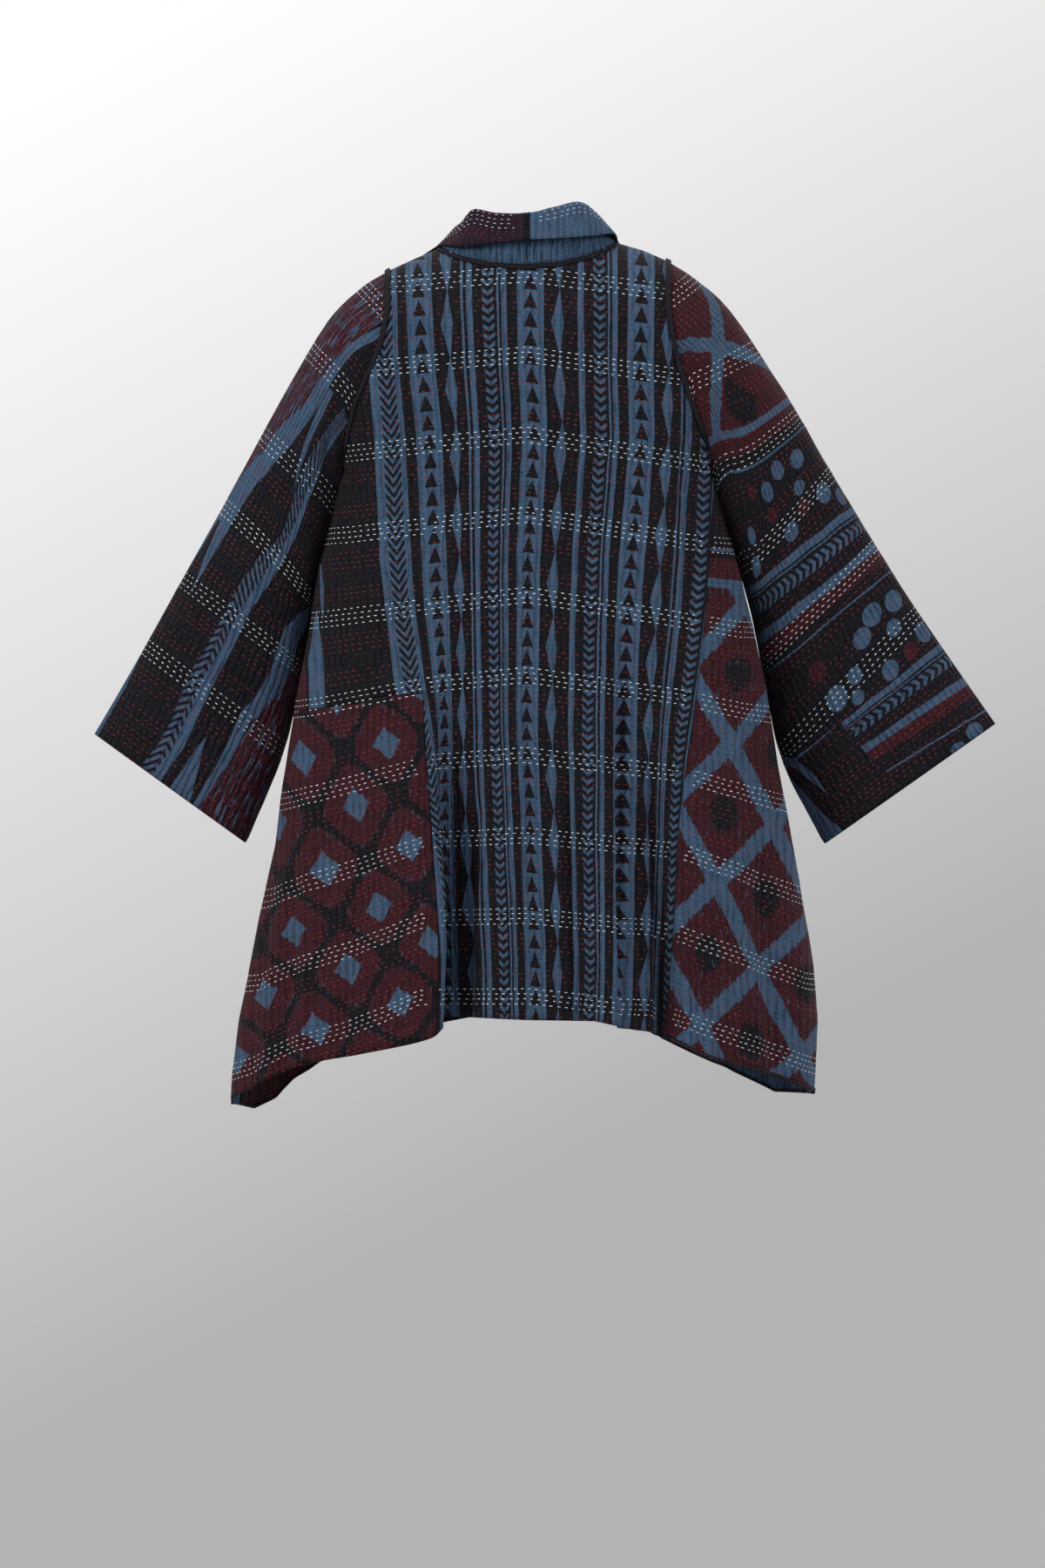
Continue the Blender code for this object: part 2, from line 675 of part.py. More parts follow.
def reach_along(line, distance):
    """Point this far along a line of points from its first."""
    gaps = np.linalg.norm(np.diff(line, axis=0), axis=1)
    s = np.concatenate([[0], np.cumsum(gaps)])
    return np.array([np.interp(distance, s, line[:, k]) for k in range(3)])


def strip(name, colour, base_line, far_line, normals, lift=BINDING_LIFT):
    """A flat binding between two lines of points, standing off along the normals."""
    base = np.stack([base_line, (base_line + far_line) / 2, far_line])
    n = np.stack([normals, normals, normals])
    low = base + n * lift
    high = base + n * (lift + BINDING_WALL)
    return wall(name, colour, high, low)


for item in list(bpy.data.objects):
    bpy.data.objects.remove(item, do_unlink=True)
HOME = bpy.data.collections.new("kantha_jacket")
bpy.context.scene.collection.children.link(HOME)

BLUE = (0.045, 0.095, 0.18)
BLACK = (0.02, 0.018, 0.025)
MAROON = (0.09, 0.022, 0.03)
PLUM = (0.045, 0.012, 0.04)

# Back: the striped piece with the room for the patch left out, the patch, the side panel
gap = SEAM_HALF_GAP


u1, z1 = panel_grid(
    lambda h: edge_back(h, -1) + gap,
    lambda h: edge_patch(h) + gap,
    COLS_PATCH,
    neck_top,
)
u2, z2 = panel_grid(
    lambda h: edge_patch(h) + gap,
    lambda h: edge_right_seam(h) - gap,
    COLS_CENTRE,
    neck_top,
)
u_back = np.concatenate([u1[:, :-1], u2], axis=1)
z_back = np.concatenate([z1[:, :-1], z2], axis=1)
z_back[ROW_PATCH, :COLS_PATCH] += gap
lift = ripple(ROWS_ALL, u_back.shape[1], 11, plain_top=2)
keep = np.ones((ROWS_ALL - 1, u_back.shape[1] - 1), bool)
keep[ROW_PATCH:, :COLS_PATCH] = False
out_b, in_b, n_b = panel_walls(u_back, z_back, lift)
wall("back_centre", BLUE, out_b, in_b, keep)

up, zp = panel_grid(
    lambda h: edge_back(h, -1) + gap,
    lambda h: edge_patch(h) - gap,
    COLS_PATCH,
    neck_top,
    ROW_PATCH,
)
zp[0] -= gap
out_p, in_p, n_p = panel_walls(up, zp, ripple(*up.shape, 12))
wall("back_patch_left", MAROON, out_p, in_p)

us, zs = panel_grid(
    lambda h: edge_right_seam(h) + gap,
    lambda h: side_u(h, 1) - gap if h <= UNDERARM_Z else edge_right_seam(h) + 0.03,
    COLS_SIDE,
    lambda x: (LEVEL_TOP + 0.05, LEVEL_TOP + 0.06),
    ROW_UNDERARM,
)
out_s, in_s, n_s = panel_walls(us, zs, ripple(*us.shape, 13))
wall("back_side_right", MAROON, out_s, in_s)

# Fronts, plain and nearly meeting
fronts = {}
for label, sign, seed in (("left", -1, 14), ("right", 1, 15)):
    uf, zf = panel_grid(
        lambda h, s=sign: edge_front(h, s) + s * gap,
        lambda h, s=sign: front_inner(h, s),
        COLS_FRONT,
        shoulder_top,
    )
    lift = ripple(*uf.shape, seed, plain_top=2)
    out_f, in_f, n_f = panel_walls(uf, zf, lift)
    fronts[label] = (out_f, in_f, n_f)
    colour = BLUE if sign < 0 else MAROON
    wall("front_" + label, colour, out_f, in_f)

# Sleeves, closed tubes from the armhole to the cuff
for label, sign, table, seed in (
    ("left", -1, SLEEVE_LEFT, 16),
    ("right", 1, SLEEVE_RIGHT, 17),
):
    grid, normal = sleeve_grid(table, sign, SLEEVE_ROWS, SLEEVE_COLS)
    lift = ripple(*grid.shape[:2], seed, plain_top=2, plain_side=0)
    low = grid[..., 1] ** 2 < 0.012**2
    lift[low] = 0
    wall(
        "sleeve_" + label,
        BLACK,
        grid + normal * (WALL / 2 + lift)[..., None],
        grid - normal * WALL / 2,
        closed=True,
    )

# Collar halves, meeting at the centre back
collars = {}
for label, sign, table, colour in (
    ("left", -1, COLLAR_BACK_LEFT, PLUM),
    ("right", 1, COLLAR_BACK_RIGHT, BLUE),
):
    grid, normal = collar_grid(table, sign)
    collars[label] = (grid, normal)
    wall("collar_" + label, colour, grid + normal * WALL / 2, grid - normal * WALL / 2)

# Bindings, made from the points of what they lie on
neck_cols = [
    j for j in range(u_back.shape[1]) if NECK_SEAM[0][0] < out_b[0, j, 0] < NECK_SEAM[-1][0]
]
strip(
    "neck_binding",
    BLACK,
    np.array([reach_along(out_b[:4, j], BINDING_INSET) for j in neck_cols]),
    np.array([reach_along(out_b[:4, j], BINDING_WIDTH) for j in neck_cols]),
    n_b[0, neck_cols],
)
for label, turn in (("left", slice(None)), ("right", slice(None, None, -1))):
    out_f, in_f, n_f = fronts[label]
    edge = [(out_b[r, turn], n_b[r, turn][0]) for r in range(ROW_UNDERARM - 1, -1, -1)]
    edge += [(out_f[r], n_f[r, 0]) for r in range(0, ROW_UNDERARM)]
    strip(
        "armhole_binding_" + label,
        BLACK,
        np.array([reach_along(line, BINDING_INSET) for line, n in edge]),
        np.array([reach_along(line, BINDING_WIDTH) for line, n in edge]),
        np.array([n for line, n in edge]),
    )
    rows = range(ROW_UNDERARM + 1, ROWS_ALL)
    strip(
        "side_binding_" + label,
        BLACK,
        np.array([reach_along(in_f[r], BINDING_INSET) for r in rows]),
        np.array([reach_along(in_f[r], BINDING_INSET + BINDING_WIDTH) for r in rows]),
        -np.array([n_f[r, 0] for r in rows]),
        INSIDE_LIFT,
    )
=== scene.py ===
import math

import bpy
import numpy as np
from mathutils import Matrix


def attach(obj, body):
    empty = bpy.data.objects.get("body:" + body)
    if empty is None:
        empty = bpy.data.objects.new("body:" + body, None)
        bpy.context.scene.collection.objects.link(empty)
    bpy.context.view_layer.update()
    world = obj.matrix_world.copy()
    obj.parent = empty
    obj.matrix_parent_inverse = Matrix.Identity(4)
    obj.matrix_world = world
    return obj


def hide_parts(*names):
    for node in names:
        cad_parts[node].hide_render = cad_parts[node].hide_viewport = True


# Looks of the kantha jacket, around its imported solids. Metres, +Z up, back towards -Y.

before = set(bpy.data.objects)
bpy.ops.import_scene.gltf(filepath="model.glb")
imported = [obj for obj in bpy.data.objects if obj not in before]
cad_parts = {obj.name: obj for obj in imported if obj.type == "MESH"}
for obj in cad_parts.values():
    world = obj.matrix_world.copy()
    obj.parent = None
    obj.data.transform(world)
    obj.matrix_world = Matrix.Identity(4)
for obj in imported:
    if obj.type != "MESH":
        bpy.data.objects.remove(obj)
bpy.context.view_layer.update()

WALL = 0.0018
SEAM_HALF_GAP = 0.0003
# Rings round the body are worked out at levels between these heights
LEVEL_TOP = -0.10
LEVEL_LOW = -0.94
LEVEL_STEP = 0.005
U_STEP = 0.001
RING_POWER = 2.4
RING_SAMPLES = 1801
UNDERARM_Z = -0.235
# The side seams lie this far round from the centre back, in degrees
SIDE_ANGLE = 98.0

# The garment's sections, the same as the solids have.
# z, left half width, right half width, back depth, front depth
BODY_SECTIONS = [
    (-0.1, 0.213, 0.215, 0.094, 0.1),
    (-0.16, 0.211, 0.214, 0.1, 0.104),
    (-0.2, 0.206, 0.209, 0.101, 0.105),
    (-0.235, 0.201, 0.203, 0.102, 0.106),
    (-0.29, 0.212, 0.214, 0.104, 0.108),
    (-0.34, 0.2235, 0.2275, 0.107, 0.111),
    (-0.395, 0.231, 0.241, 0.111, 0.116),
    (-0.46, 0.244, 0.2555, 0.116, 0.121),
    (-0.55, 0.2585, 0.2695, 0.124, 0.13),
    (-0.63, 0.271, 0.284, 0.131, 0.138),
    (-0.7, 0.286, 0.297, 0.137, 0.145),
    (-0.76, 0.297, 0.306, 0.141, 0.149),
    (-0.82, 0.308, 0.311, 0.145, 0.152),
    (-0.88, 0.315, 0.308, 0.147, 0.153),
    (-0.94, 0.318, 0.304, 0.148, 0.153),
]
# x, z of the shoulder line, carried over the neck opening
SHOULDER_LINE = [
    (-0.23, -0.062), (-0.18, -0.0325), (-0.1525, -0.0195), (-0.12, -0.0045), (-0.096, 0.0055),
    (-0.05, 0.019), (0.0, 0.022), (0.05, 0.0215), (0.098, 0.012), (0.1255, 0.004),
    (0.155, -0.009), (0.196, -0.0325), (0.23, -0.06),
]
# x, z of the back neck seam
NECK_SEAM = [
    (-0.096, 0.005), (-0.07, -0.0037), (-0.042, -0.0102), (-0.005, -0.013), (0.033, -0.0102),
    (0.07, -0.0019), (0.098, 0.0115),
]
# z, x of the left armhole, x of the right armhole
ARMHOLES = [
    (0.01, -0.15, 0.155), (-0.02, -0.1522, 0.1545), (-0.06, -0.152, 0.1535),
    (-0.092, -0.158, 0.159), (-0.118, -0.168, 0.165), (-0.163, -0.187, 0.18),
    (-0.2, -0.194, 0.1935), (-0.225, -0.1975, 0.1985), (-0.235, -0.1985, 0.2),
]
# z, half distance between the front edges
FRONT_EDGES = [
    (0.01, 0.097), (-0.03, 0.088), (-0.06, 0.078), (-0.1, 0.065), (-0.16, 0.048),
    (-0.235, 0.03), (-0.3, 0.018), (-0.38, 0.01), (-0.94, 0.008),
]
# z, x of the seam between the striped back and the right side panel
RIGHT_SEAM = [
    (-0.235, 0.2), (-0.32, 0.1953), (-0.466, 0.1845), (-0.54, 0.1776), (-0.635, 0.167),
    (-0.725, 0.159), (-0.84, 0.145), (-0.94, 0.14),
]
# z, x on the plain ring of the line that the lower left patch ends on
PATCH_EDGE = [
    (0.0, -0.07), (-0.1, -0.085), (-0.3, -0.105), (-0.47, -0.118), (-0.65, -0.135),
    (-0.84, -0.145), (-0.94, -0.148),
]
# Lengthwise folds. x on the plain ring at the hem, half widths towards and away from the
# centre back, how far it stands out, its shift along +X, the height where it begins
BACK_FOLDS = [
    (-0.255, 0.05, 0.05, -0.01, 0.0, -0.45),
    (-0.152, 0.06, 0.085, 0.03, 0.05, -0.36),
    (-0.085, 0.055, 0.045, -0.034, -0.006, -0.3),
    (-0.025, 0.04, 0.04, 0.01, 0.0, -0.34),
    (0.038, 0.045, 0.045, -0.009, 0.0, -0.4),
    (0.086, 0.04, 0.045, 0.012, 0.0, -0.36),
    (0.14, 0.045, 0.045, -0.03, 0.0, -0.28),
    (0.21, 0.06, 0.06, 0.016, -0.016, -0.34),
    (0.27, 0.035, 0.03, -0.006, 0.0, -0.5),
]
FRONT_FOLDS = [
    (-0.24, 0.055, 0.05, -0.014, 0.0, -0.36),
    (-0.17, 0.05, 0.05, 0.02, 0.004, -0.32),
    (-0.105, 0.045, 0.045, -0.018, 0.0, -0.34),
    (-0.05, 0.035, 0.04, 0.008, 0.0, -0.42),
    (0.055, 0.035, 0.045, 0.009, 0.0, -0.4),
    (0.115, 0.05, 0.045, -0.018, 0.0, -0.33),
    (0.18, 0.05, 0.055, 0.021, -0.004, -0.3),
    (0.245, 0.05, 0.045, -0.013, 0.0, -0.38),
]
# x on the plain ring, z of the hem
HEM_BACK = [
    (-0.33, -0.907), (-0.315, -0.904), (-0.255, -0.873), (-0.2, -0.856), (-0.152, -0.838),
    (-0.115, -0.82), (-0.08, -0.815), (0.0, -0.819), (0.07, -0.82), (0.126, -0.832),
    (0.175, -0.848), (0.25, -0.874), (0.312, -0.898),
]
HEM_FRONT = [
    (-0.33, -0.908), (-0.306, -0.912), (-0.29, -0.9165), (-0.266, -0.905), (-0.248, -0.885),
    (-0.215, -0.863), (-0.12, -0.83), (0.0, -0.808), (0.12, -0.83), (0.2, -0.866),
    (0.27, -0.899), (0.312, -0.9),
]
# x on the plain ring, z of the top edge of the lower left patch
PATCH_TOP = [
    (-0.33, -0.512), (-0.25, -0.505), (-0.217, -0.493), (-0.16, -0.481), (-0.114, -0.4725),
    (0.0, -0.465), (0.15, -0.472), (0.31, -0.495),
]
# Along the sleeve: share of its length, outer x and z, inner x and z, half depth, shift in y
SLEEVE_RIGHT = [
    (0.0, 0.155, -0.009, 0.203, -0.235, 0.07, 0.0),
    (0.07, 0.1965, -0.0345, 0.21, -0.2585, 0.071, 0.004),
    (0.14, 0.221, -0.06, 0.217, -0.282, 0.071, 0.008),
    (0.3, 0.275, -0.145, 0.231, -0.34, 0.067, 0.02),
    (0.5, 0.337, -0.251, 0.246, -0.401, 0.059, 0.031),
    (0.7, 0.3995, -0.353, 0.259, -0.472, 0.05, 0.036),
    (0.85, 0.452, -0.43, 0.274, -0.545, 0.043, 0.035),
    (1.0, 0.503, -0.503, 0.321, -0.631, 0.036, 0.03),
]
SLEEVE_LEFT = [
    (0.0, -0.1525, -0.02, -0.201, -0.235, 0.07, 0.0),
    (0.07, -0.1895, -0.041, -0.2075, -0.2575, 0.071, 0.004),
    (0.14, -0.215, -0.07, -0.214, -0.28, 0.071, 0.008),
    (0.3, -0.262, -0.152, -0.225, -0.338, 0.067, 0.02),
    (0.5, -0.3175, -0.255, -0.233, -0.401, 0.059, 0.031),
    (0.7, -0.3755, -0.358, -0.246, -0.472, 0.05, 0.036),
    (0.85, -0.4205, -0.44, -0.264, -0.543, 0.043, 0.035),
    (1.0, -0.464, -0.514, -0.303, -0.63, 0.036, 0.03),
]
# Creases of the sleeves: share of length, angle round from the outer edge in degrees,
# half width along and round, depth out
SLEEVE_FOLDS = [
    (0.16, 120.0, 0.08, 38.0, -0.005),
    (0.27, 90.0, 0.07, 46.0, 0.0045),
    (0.42, 115.0, 0.1, 40.0, -0.004),
    (0.6, 70.0, 0.12, 40.0, 0.0035),
    (0.8, 110.0, 0.1, 42.0, -0.0035),
    (0.18, 240.0, 0.08, 38.0, -0.005),
    (0.33, 275.0, 0.08, 46.0, 0.0045),
    (0.52, 245.0, 0.1, 40.0, -0.004),
    (0.74, 280.0, 0.12, 40.0, 0.0035),
]
# Creases, listed one by one. Plain x and z of both ends, half width, depth out
BACK_CREASES = [
    (-0.265, -0.56, -0.3, -0.96, 0.016, -0.0045),
    (-0.225, -0.5, -0.252, -0.96, 0.014, 0.0042),
    (-0.19, -0.62, -0.208, -0.9, 0.012, -0.004),
    (-0.15, -0.33, -0.16, -0.47, 0.012, -0.003),
    (-0.118, -0.42, -0.125, -0.96, 0.013, 0.0062),
    (-0.093, -0.44, -0.098, -0.99, 0.008, -0.0098),
    (-0.128, -0.08, -0.104, -0.33, 0.011, -0.0024),
    (-0.06, -0.24, -0.058, -0.52, 0.011, -0.0024),
    (-0.052, -0.52, -0.06, -0.96, 0.009, -0.0058),
    (-0.022, -0.05, -0.015, -0.26, 0.01, -0.0018),
    (-0.01, -0.43, -0.018, -0.76, 0.012, 0.0036),
    (0.034, -0.13, 0.036, -0.42, 0.011, -0.0022),
    (0.046, -0.48, 0.05, -0.96, 0.009, -0.0056),
    (0.078, -0.3, 0.074, -0.72, 0.011, 0.0038),
    (0.101, -0.36, 0.106, -0.99, 0.008, -0.0104),
    (0.122, -0.42, 0.124, -0.96, 0.011, 0.0068),
    (0.112, -0.06, 0.13, -0.29, 0.011, -0.0024),
    (0.168, -0.18, 0.176, -0.42, 0.01, -0.003),
    (0.178, -0.56, 0.186, -0.96, 0.013, -0.005),
    (0.216, -0.43, 0.236, -0.76, 0.014, 0.0034),
    (0.252, -0.6, 0.262, -0.96, 0.013, -0.004),
]
FRONT_CREASES = [
    (-0.262, -0.48, -0.276, -0.96, 0.015, -0.0045),
    (-0.205, -0.35, -0.222, -0.96, 0.013, 0.004),
    (-0.15, -0.12, -0.14, -0.42, 0.012, -0.0028),
    (-0.132, -0.52, -0.146, -0.96, 0.012, -0.0042),
    (-0.08, -0.4, -0.084, -0.78, 0.012, 0.003),
    (-0.044, -0.56, -0.05, -0.96, 0.011, -0.0034),
    (0.048, -0.5, 0.046, -0.96, 0.011, -0.0034),
    (0.09, -0.36, 0.096, -0.72, 0.012, 0.0032),
    (0.128, -0.54, 0.136, -0.96, 0.013, -0.0044),
    (0.146, -0.14, 0.15, -0.45, 0.012, -0.0028),
    (0.206, -0.4, 0.22, -0.96, 0.013, 0.0042),
    (0.258, -0.52, 0.268, -0.96, 0.014, -0.0042),
]
# Collar from the centre back to the shoulder: base, fold and fall edge, each x, y, z
COLLAR_BACK_RIGHT = [
    (0.0, -0.0655, -0.0118, 0.0, -0.056, 0.0425, 0.0, -0.0735, 0.0145),
    (0.033, -0.061, -0.009, 0.03, -0.053, 0.049, 0.034, -0.069, 0.016),
    (0.068, -0.044, -0.001, 0.056, -0.037, 0.055, 0.071, -0.052, 0.019),
    (0.09, -0.02, 0.0115, 0.071, -0.015, 0.045, 0.094, -0.023, 0.0215),
    (0.0945, 0.0, 0.015, 0.08, 0.004, 0.034, 0.098, 0.004, 0.0135),
]
COLLAR_BACK_LEFT = [
    (0.0, -0.0655, -0.0118, 0.0, -0.056, 0.0425, 0.0, -0.0735, 0.0145),
    (-0.033, -0.061, -0.0095, -0.033, -0.053, 0.043, -0.034, -0.069, 0.011),
    (-0.068, -0.044, -0.003, -0.056, -0.037, 0.0475, -0.07, -0.052, 0.008),
    (-0.087, -0.02, 0.006, -0.068, -0.015, 0.034, -0.089, -0.023, 0.01),
    (-0.092, 0.0, 0.0095, -0.076, 0.004, 0.027, -0.097, 0.004, 0.0085),
]
# Along the front edge: z, width of the turned lapel, its roll towards the centre, its lift
LAPEL = [
    (-0.005, 0.026, 0.011, 0.0025),
    (-0.03, 0.042, 0.01, 0.005),
    (-0.09, 0.056, 0.008, 0.008),
    (-0.17, 0.06, 0.006, 0.007),
    (-0.25, 0.048, 0.005, 0.0065),
    (-0.32, 0.03, 0.004, 0.006),
    (-0.37, 0.014, 0.003, 0.0055),
]
FOLD_ROUND = 0.0030
STAND_HEIGHT = 0.030
# Row of the collar's grid where it turns over, and the raised seam at its centre back
FOLD_ROW = 13
COLLAR_SEAM_WIDTH, COLLAR_SEAM_LIFT = 0.0030, 0.0005
BINDING_LIFT = 0.0011
INSIDE_LIFT = 0.0004
BINDING_WALL = 0.0012
BINDING_WIDTH = 0.0070
ARM_BINDING_WIDTH = 0.0066
BINDING_INSET = 0.0009
# Points of a row, from its edge, over which a binding's width is measured
NEAR_EDGE = 14
HEM_SIDE_WIDTH, HEM_FRONT_WIDTH = 0.0042, 0.0030
# Height of a hem's stitches over its cloth
HEM_LIFT = 0.0016
SLEEVE_GAP_TOP = -0.0014
SLEEVE_GAP_LOW = 0.0020
# How far a sleeve's inner side is drawn in at the underarm, and the degrees round the
# sleeve and the share of its length over which that fades out
UNDERARM_CLOSE = 0.0050
UNDERARM_TURN = 70
UNDERARM_SHARE = 0.45
# Share of a sleeve's length over which its armhole's own shape fades out
ARMHOLE_REACH = 0.40

# Rows and columns of the fine cloth
ROWS_TOP, ROWS_ARM, ROWS_MID, ROWS_LOW = 10, 21, 38, 54
COLS_PATCH, COLS_CENTRE, COLS_SIDE, COLS_FRONT = 110, 148, 110, 126
SLEEVE_COLS, SLEEVE_ROWS = 208, 92
COLLAR_COLS = 190
ROW_UNDERARM = ROWS_TOP + ROWS_ARM
ROW_PATCH = ROW_UNDERARM + ROWS_MID
ROWS_ALL = ROW_PATCH + ROWS_LOW + 1

# Quilting: the running stitch and the puckers that it draws
ROW_PITCH = 0.00535
DASH_PITCH = 0.0082
DASH_LENGTH = 0.0040
DASH_WIDTH = 0.00088
DASH_HEIGHT = 0.00040
DASH_SUNK = 0.0001
DASH_STRAY = 0.00045
# Share of the red and dark stitches that isn't worn away
DASHES_LEFT = 0.86
PUCKER_PITCH = 0.0078
PUCKER_DEPTH = 0.00030
SOFT_DEPTH = 0.0012
EDGE_FLAT = 0.006
THREADS = "WWWWDRRRRDDDRRRD"
GROUP_CENTRE = 0.0230
SLEEVE_CENTRES = {"left": -0.1050, "right": -0.1315}

# How far the stitch rows droop below their height at the centre back.
# height at the centre, then x and droop
DROOP = [
    (-0.01, [(-0.15, 0.01), (0.0, 0.0), (0.155, 0.018)]),
    (-0.105, [(-0.165, 0.014), (0.0, 0.0), (0.16, 0.023)]),
    (-0.195, [(-0.19, 0.0195), (0.0, 0.0), (0.188, 0.031)]),
    (-0.37, [(-0.226, 0.027), (0.0, 0.0), (0.228, 0.037)]),
    (-0.63, [(-0.287, 0.071), (-0.095, 0.004), (0.0, 0.0), (0.164, 0.016), (0.2985, 0.068)]),
    (-0.819, [(-0.315, 0.085), (-0.255, 0.054), (-0.2, 0.037), (-0.152, 0.019), (-0.115, 0.0),
              (0.0, 0.0), (0.126, 0.013), (0.175, 0.029), (0.25, 0.055), (0.312, 0.079)]),
]
# Where the print's stripes run on the back: z, then the x on the plain ring of each of
# the print coordinates in PRINT_MARKS
PRINT_MARKS = (-0.1582, -0.1187, 0.0000, 0.1187, 0.1926)
PRINT_LINES = [
    (-0.0465, -0.1525, -0.1163, 0.0037, 0.1223, 0.1962),
    (-0.1135, -0.1516, -0.1121, 0.0042, 0.1214, 0.1925),
    (-0.1953, -0.1442, -0.1042, 0.0081, 0.1232, 0.1907),
    (-0.3255, -0.1386, -0.0977, 0.0009, 0.1116, 0.186),
    (-0.4185, -0.13, -0.093, 0.0, 0.106, 0.178),
    (-0.5115, -0.1246, -0.0884, -0.0009, 0.1042, 0.1685),
    (-0.7533, -0.1181, -0.0791, 0.0084, 0.1032, 0.1525),
    (-0.83, -0.1175, -0.078, 0.009, 0.1014, 0.1488),
]
# Stitch rows on a sleeve: share of the length at the outer edge and at the inner edge, and
# the cloth length up from the cuff, of each group of white rows
SLEEVE_ROWS_LEFT = [
    (0.0, -0.42, -0.56), (0.203, -0.1, -0.447), (0.382, 0.11, -0.3615), (0.527, 0.41, -0.276),
    (0.681, 0.627, -0.1905), (0.813, 0.825, -0.105), (1.0, 1.0, 0.0),
]
SLEEVE_ROWS_RIGHT = [
    (0.0, -0.36, -0.585), (0.048, -0.28, -0.559), (0.219, -0.07, -0.4735),
    (0.353, 0.033, -0.388), (0.467, 0.282, -0.3025), (0.623, 0.608, -0.217),
    (0.761, 0.831, -0.1315), (1.0, 1.0, 0.0),
]

# Cloth colours, linear
BLUE = (0.046, 0.088, 0.150)
BLUE_DEEP = (0.020, 0.038, 0.068)
BLACK = (0.0066, 0.0062, 0.0090)
MAROON = (0.040, 0.0088, 0.0132)
PLUM = (0.0175, 0.0070, 0.0165)
WHITE_THREAD = (0.88, 0.88, 0.87)
RED_THREAD = (0.25, 0.020, 0.026)
DARK_THREAD = (0.012, 0.018, 0.030)
PALE_STAGE = (0.42, 0.42, 0.43)


def column(rows, x, at=0, get=1):
    """Value of one table column at x, straight between rows."""
    table = sorted((r[at], r[get]) for r in rows)
    return np.interp(x, [r[0] for r in table], [r[1] for r in table])


def smooth(t):
    t = np.clip(t, 0.0, 1.0)
    return t * t * (3.0 - 2.0 * t)


def noise(a, b, size_a, size_b, seed):
    """Smooth noise from -1 to 1 over two coordinates in metres."""
    table = np.random.default_rng(seed).uniform(-1, 1, (101, 97))
    x, y = np.asarray(a) / size_a + 500, np.asarray(b) / size_b + 500
    i, j = np.floor(x).astype(int), np.floor(y).astype(int)
    fx, fy = smooth(x - i), smooth(y - j)
    low = table[i % 101, j % 97] * (1 - fx) + table[(i + 1) % 101, j % 97] * fx
    high = table[i % 101, (j + 1) % 97] * (1 - fx) + table[(i + 1) % 101, (j + 1) % 97] * fx
    return low * (1 - fy) + high * fy


def plain_ring(z):
    """Angles, and the points of the ring without folds at one height."""
    w_l, w_r, d_b, d_f = (column(BODY_SECTIONS, z, 0, k) for k in (1, 2, 3, 4))
    angle = np.radians(np.linspace(-179.9, 179.9, RING_SAMPLES))
    s, c = np.sin(angle), np.cos(angle)
    w = np.where(s < 0, w_l, w_r)
    d = np.where(c > 0, d_b, d_f)
    r = ((np.abs(s) / w) ** RING_POWER + (np.abs(c) / d) ** RING_POWER) ** (-1 / RING_POWER)
    return angle, r * s, -r * c


def folded_ring(z):
    angle, x, y = plain_ring(z)
    wide = column(BODY_SECTIONS, z, 0, 2) / column(BODY_SECTIONS, -0.82, 0, 2)
    facing = np.where(np.cos(angle) > 0, -1.0, 1.0)
    dx, dy = np.zeros_like(x), np.zeros_like(y)
    for folds, side in ((BACK_FOLDS, -1.0), (FRONT_FOLDS, 1.0)):
        for at, near, far, out, lean, start in folds:
            grow = smooth((start - z) / (start + 0.80))
            inward = (x - at * wide) * -np.sign(at)
            half = np.where(inward > 0, near, far) * (0.55 + 0.45 * wide)
            bump = np.cos(np.clip(inward / half, -1, 1) * math.pi / 2) ** 2
            bump = np.where(facing == side, bump, 0.0) * grow
            dx += lean * bump
            dy += side * out * bump
    fade = smooth(np.abs(np.cos(angle)) / 0.25)
    return angle, x, y, x + dx * fade, y + dy * fade


LEVELS = np.arange(LEVEL_TOP, LEVEL_LOW - LEVEL_STEP / 2, -LEVEL_STEP)
RINGS = []
for level in LEVELS:
    ring_angle, bare_x, bare_y, ring_x, ring_y = folded_ring(level)
    step = np.hypot(np.diff(ring_x), np.diff(ring_y))
    along = np.concatenate([[0.0], np.cumsum(step)])
    along -= np.interp(0.0, ring_angle, along)
    turned = np.hypot(np.diff(bare_x), np.diff(bare_y)) - 3.0 * np.abs(np.diff(bare_x))
    ahead = np.where(np.abs(ring_angle[1:]) <= math.pi / 2, 1.0, -1.0)
    seen = ahead * np.diff(ring_x) + 0.35 * np.maximum(turned, 0.0)
    seen = np.concatenate([[0.0], np.cumsum(seen)])
    seen -= np.interp(0.0, ring_angle, seen)
    RINGS.append((along, ring_angle, bare_x, ring_x, ring_y, seen))
U_MAX = max(-r[0][0] for r in RINGS) + 0.01
US = np.arange(-U_MAX, U_MAX, U_STEP)
GRID = np.array([[np.interp(US, r[0], r[k]) for k in (3, 4, 2, 5)] for r in RINGS])


def from_grid(k, u, z):
    """Field k of the rings (x, y, plain x, print coordinate) at arc length u and height z."""
    a = np.clip((LEVEL_TOP - np.minimum(z, LEVEL_TOP)) / LEVEL_STEP, 0, len(LEVELS) - 1.001)
    b = np.clip((u + U_MAX) / U_STEP, 0, len(US) - 1.001)
    i, j = a.astype(int), b.astype(int)
    fa, fb = a - i, b - j
    g = GRID[:, k]
    low = g[i, j] * (1 - fb) + g[i, j + 1] * fb
    high = g[i + 1, j] * (1 - fb) + g[i + 1, j + 1] * fb
    return low * (1 - fa) + high * fa


def body_point(u, z):
    u, z = np.asarray(u, float), np.asarray(z, float)
    x, y = from_grid(0, u, z), from_grid(1, u, z)
    top = column(SHOULDER_LINE, x)
    drop = np.clip((top - z) / (top - LEVEL_TOP), 0.0, 1.0)
    return np.stack([x, y * np.sqrt(1 - (1 - drop) ** 2), z], axis=-1)


